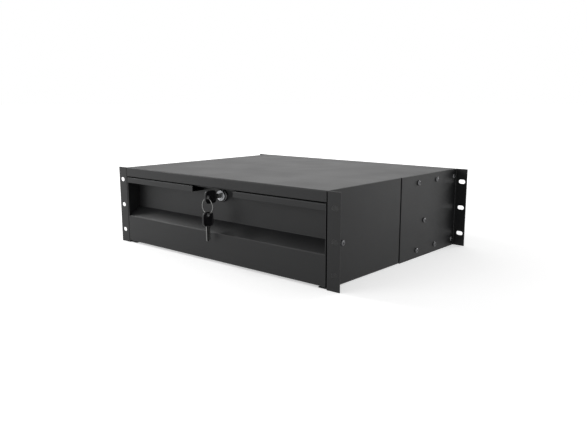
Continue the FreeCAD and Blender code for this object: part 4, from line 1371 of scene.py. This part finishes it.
@dataclass(frozen=True)
class Lamp:
    """A soft area lamp that looks at the drawer."""

    name: str
    at: tuple[float, float, float]
    size: tuple[float, float]
    watts: float
    target: tuple[float, float, float] = (0.0, 0.15, 0.0)

    def build(self) -> None:
        """Makes the lamp."""
        data = bpy.data.lights.new(self.name, "AREA")
        data.shape = "RECTANGLE"
        data.size, data.size_y = self.size
        data.energy = self.watts
        lamp = bpy.data.objects.new(self.name, data)
        lamp.location = self.at
        lamp.rotation_euler = (Vector(self.target) - Vector(self.at)).to_track_quat("-Z", "Y").to_euler()
        bpy.context.scene.collection.objects.link(lamp)


@dataclass
class Studio:
    """Floor, world, lamps and camera."""

    ambient: float = 0.5
    # Glow of the floor near the drawer, below the full glow further off: painted shade.
    floor_glow: float = 0.47
    lens: float = 38.18
    camera_at: tuple[float, float, float] = (0.703, -0.624, 0.178)
    camera_way: tuple[float, float, float] = (-0.643, 0.743, -0.187)
    lamps: tuple[Lamp, ...] = (
        Lamp("key_softbox", (-1.2, -2.0, 0.75), (1.6, 1.0), 15.5),
        Lamp("side_softbox", (-1.3, -0.15, 0.55), (0.5, 0.5), 2.4),
        Lamp("edge_lamp", (-0.96, -0.12, 0.68), (0.25, 0.25), 2.6),
        Lamp("rim_lamp", (0.6, 1.6, 0.4), (0.3, 0.3), 4.0, (0.2, 0.25, 0.0)),
        Lamp("rear_softbox", (-1.2, 1.6, 1.2), (1.0, 1.0), 2.0),
    )

    def build(self) -> None:
        """Builds the studio."""
        self._camera()
        self._world()
        self._floor()
        for lamp in self.lamps:
            lamp.build()
        bpy.context.scene.view_settings.view_transform = "Standard"

    def _camera(self) -> None:
        """Makes the camera and makes it the scene's."""
        data = bpy.data.cameras.new("camera")
        data.lens = self.lens
        data.clip_start = 0.01
        camera = bpy.data.objects.new("camera", data)
        camera.location = self.camera_at
        camera.rotation_euler = Vector(self.camera_way).to_track_quat("-Z", "Y").to_euler()
        bpy.context.scene.collection.objects.link(camera)
        bpy.context.scene.camera = camera

    @staticmethod
    def _seen(tree: bpy.types.NodeTree) -> bpy.types.NodeSocket:
        """One for camera, glossy and transmission rays, and nought for the rest."""
        path = place(tree, "ShaderNodeLightPath")
        either = sum_of(tree, "MAXIMUM", path.outputs["Is Camera Ray"], path.outputs["Is Glossy Ray"])
        return sum_of(tree, "MAXIMUM", either, path.outputs["Is Transmission Ray"])

    def _world(self) -> None:
        """Makes a world that lights softly and shows white."""
        world = bpy.data.worlds.new("white_studio")
        world.use_nodes = True
        tree = world.node_tree
        background = tree.nodes["Background"]
        background.inputs["Color"].default_value = (1.0, 1.0, 1.0, 1.0)
        tree.links.new(spread(tree, self._seen(tree), 0.0, 1.0, self.ambient, 1.0),
                       background.inputs["Strength"])
        bpy.context.scene.world = world

    def _floor(self) -> None:
        """Makes the pale floor that the drawer stands on; its glow is weaker near the drawer, a painted shade round
        it.
        """
        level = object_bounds()[0].z
        bm = bmesh.new()
        bmesh.ops.create_circle(bm, cap_ends=True, segments=96, radius=40.0)
        floor = as_object(bm, "floor")
        floor.data.transform(floor.matrix_world.Translation((0, 0, level - 0.00005)))
        material = bpy.data.materials.new("pale_floor")
        material.use_nodes = True
        tree = material.node_tree
        shader = tree.nodes["Principled BSDF"]
        shader.inputs["Base Color"].default_value = (0.9, 0.9, 0.9, 1.0)
        shader.inputs["Roughness"].default_value = 0.9
        shader.inputs["Specular IOR Level"].default_value = 0.1
        shader.inputs["Emission Color"].default_value = (1.0, 1.0, 1.0, 1.0)
        place_at = place(tree, "ShaderNodeTexCoord").outputs["Object"]
        reach = place(tree, "ShaderNodeVectorMath", {0: place_at}, operation="LENGTH").outputs["Value"]
        # Painted shade: the glow falls from full beyond 2.4 m to the near value within 0.6 m of the centre,
        # darkening the floor round the drawer and what its lower faces reflect.
        glow_with_painted_shade = spread(tree, reach, 0.6, 2.4, self.floor_glow, 1.0)
        tree.links.new(sum_of(tree, "MULTIPLY", self._seen(tree), glow_with_painted_shade), shader.inputs["Emission Strength"])
        floor.data.materials.append(material)
        floor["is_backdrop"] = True


def main() -> None:
    """Builds the sub-assemblies in order."""
    logging.basicConfig(level=logging.INFO, format="%(name)s: %(message)s")
    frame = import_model()
    Studio().build()
    paint = Paintshop()
    scatter = Scatter()
    box = FastenerBox(scatter, paint)
    Case().build(frame, paint, box)
    Slides().build(frame, paint, scatter)
    Drawer().build(frame, paint, box)
    CamLock().build(frame, paint, box)
    Keys().build(frame, paint)


if __name__ == "__main__":
    main()
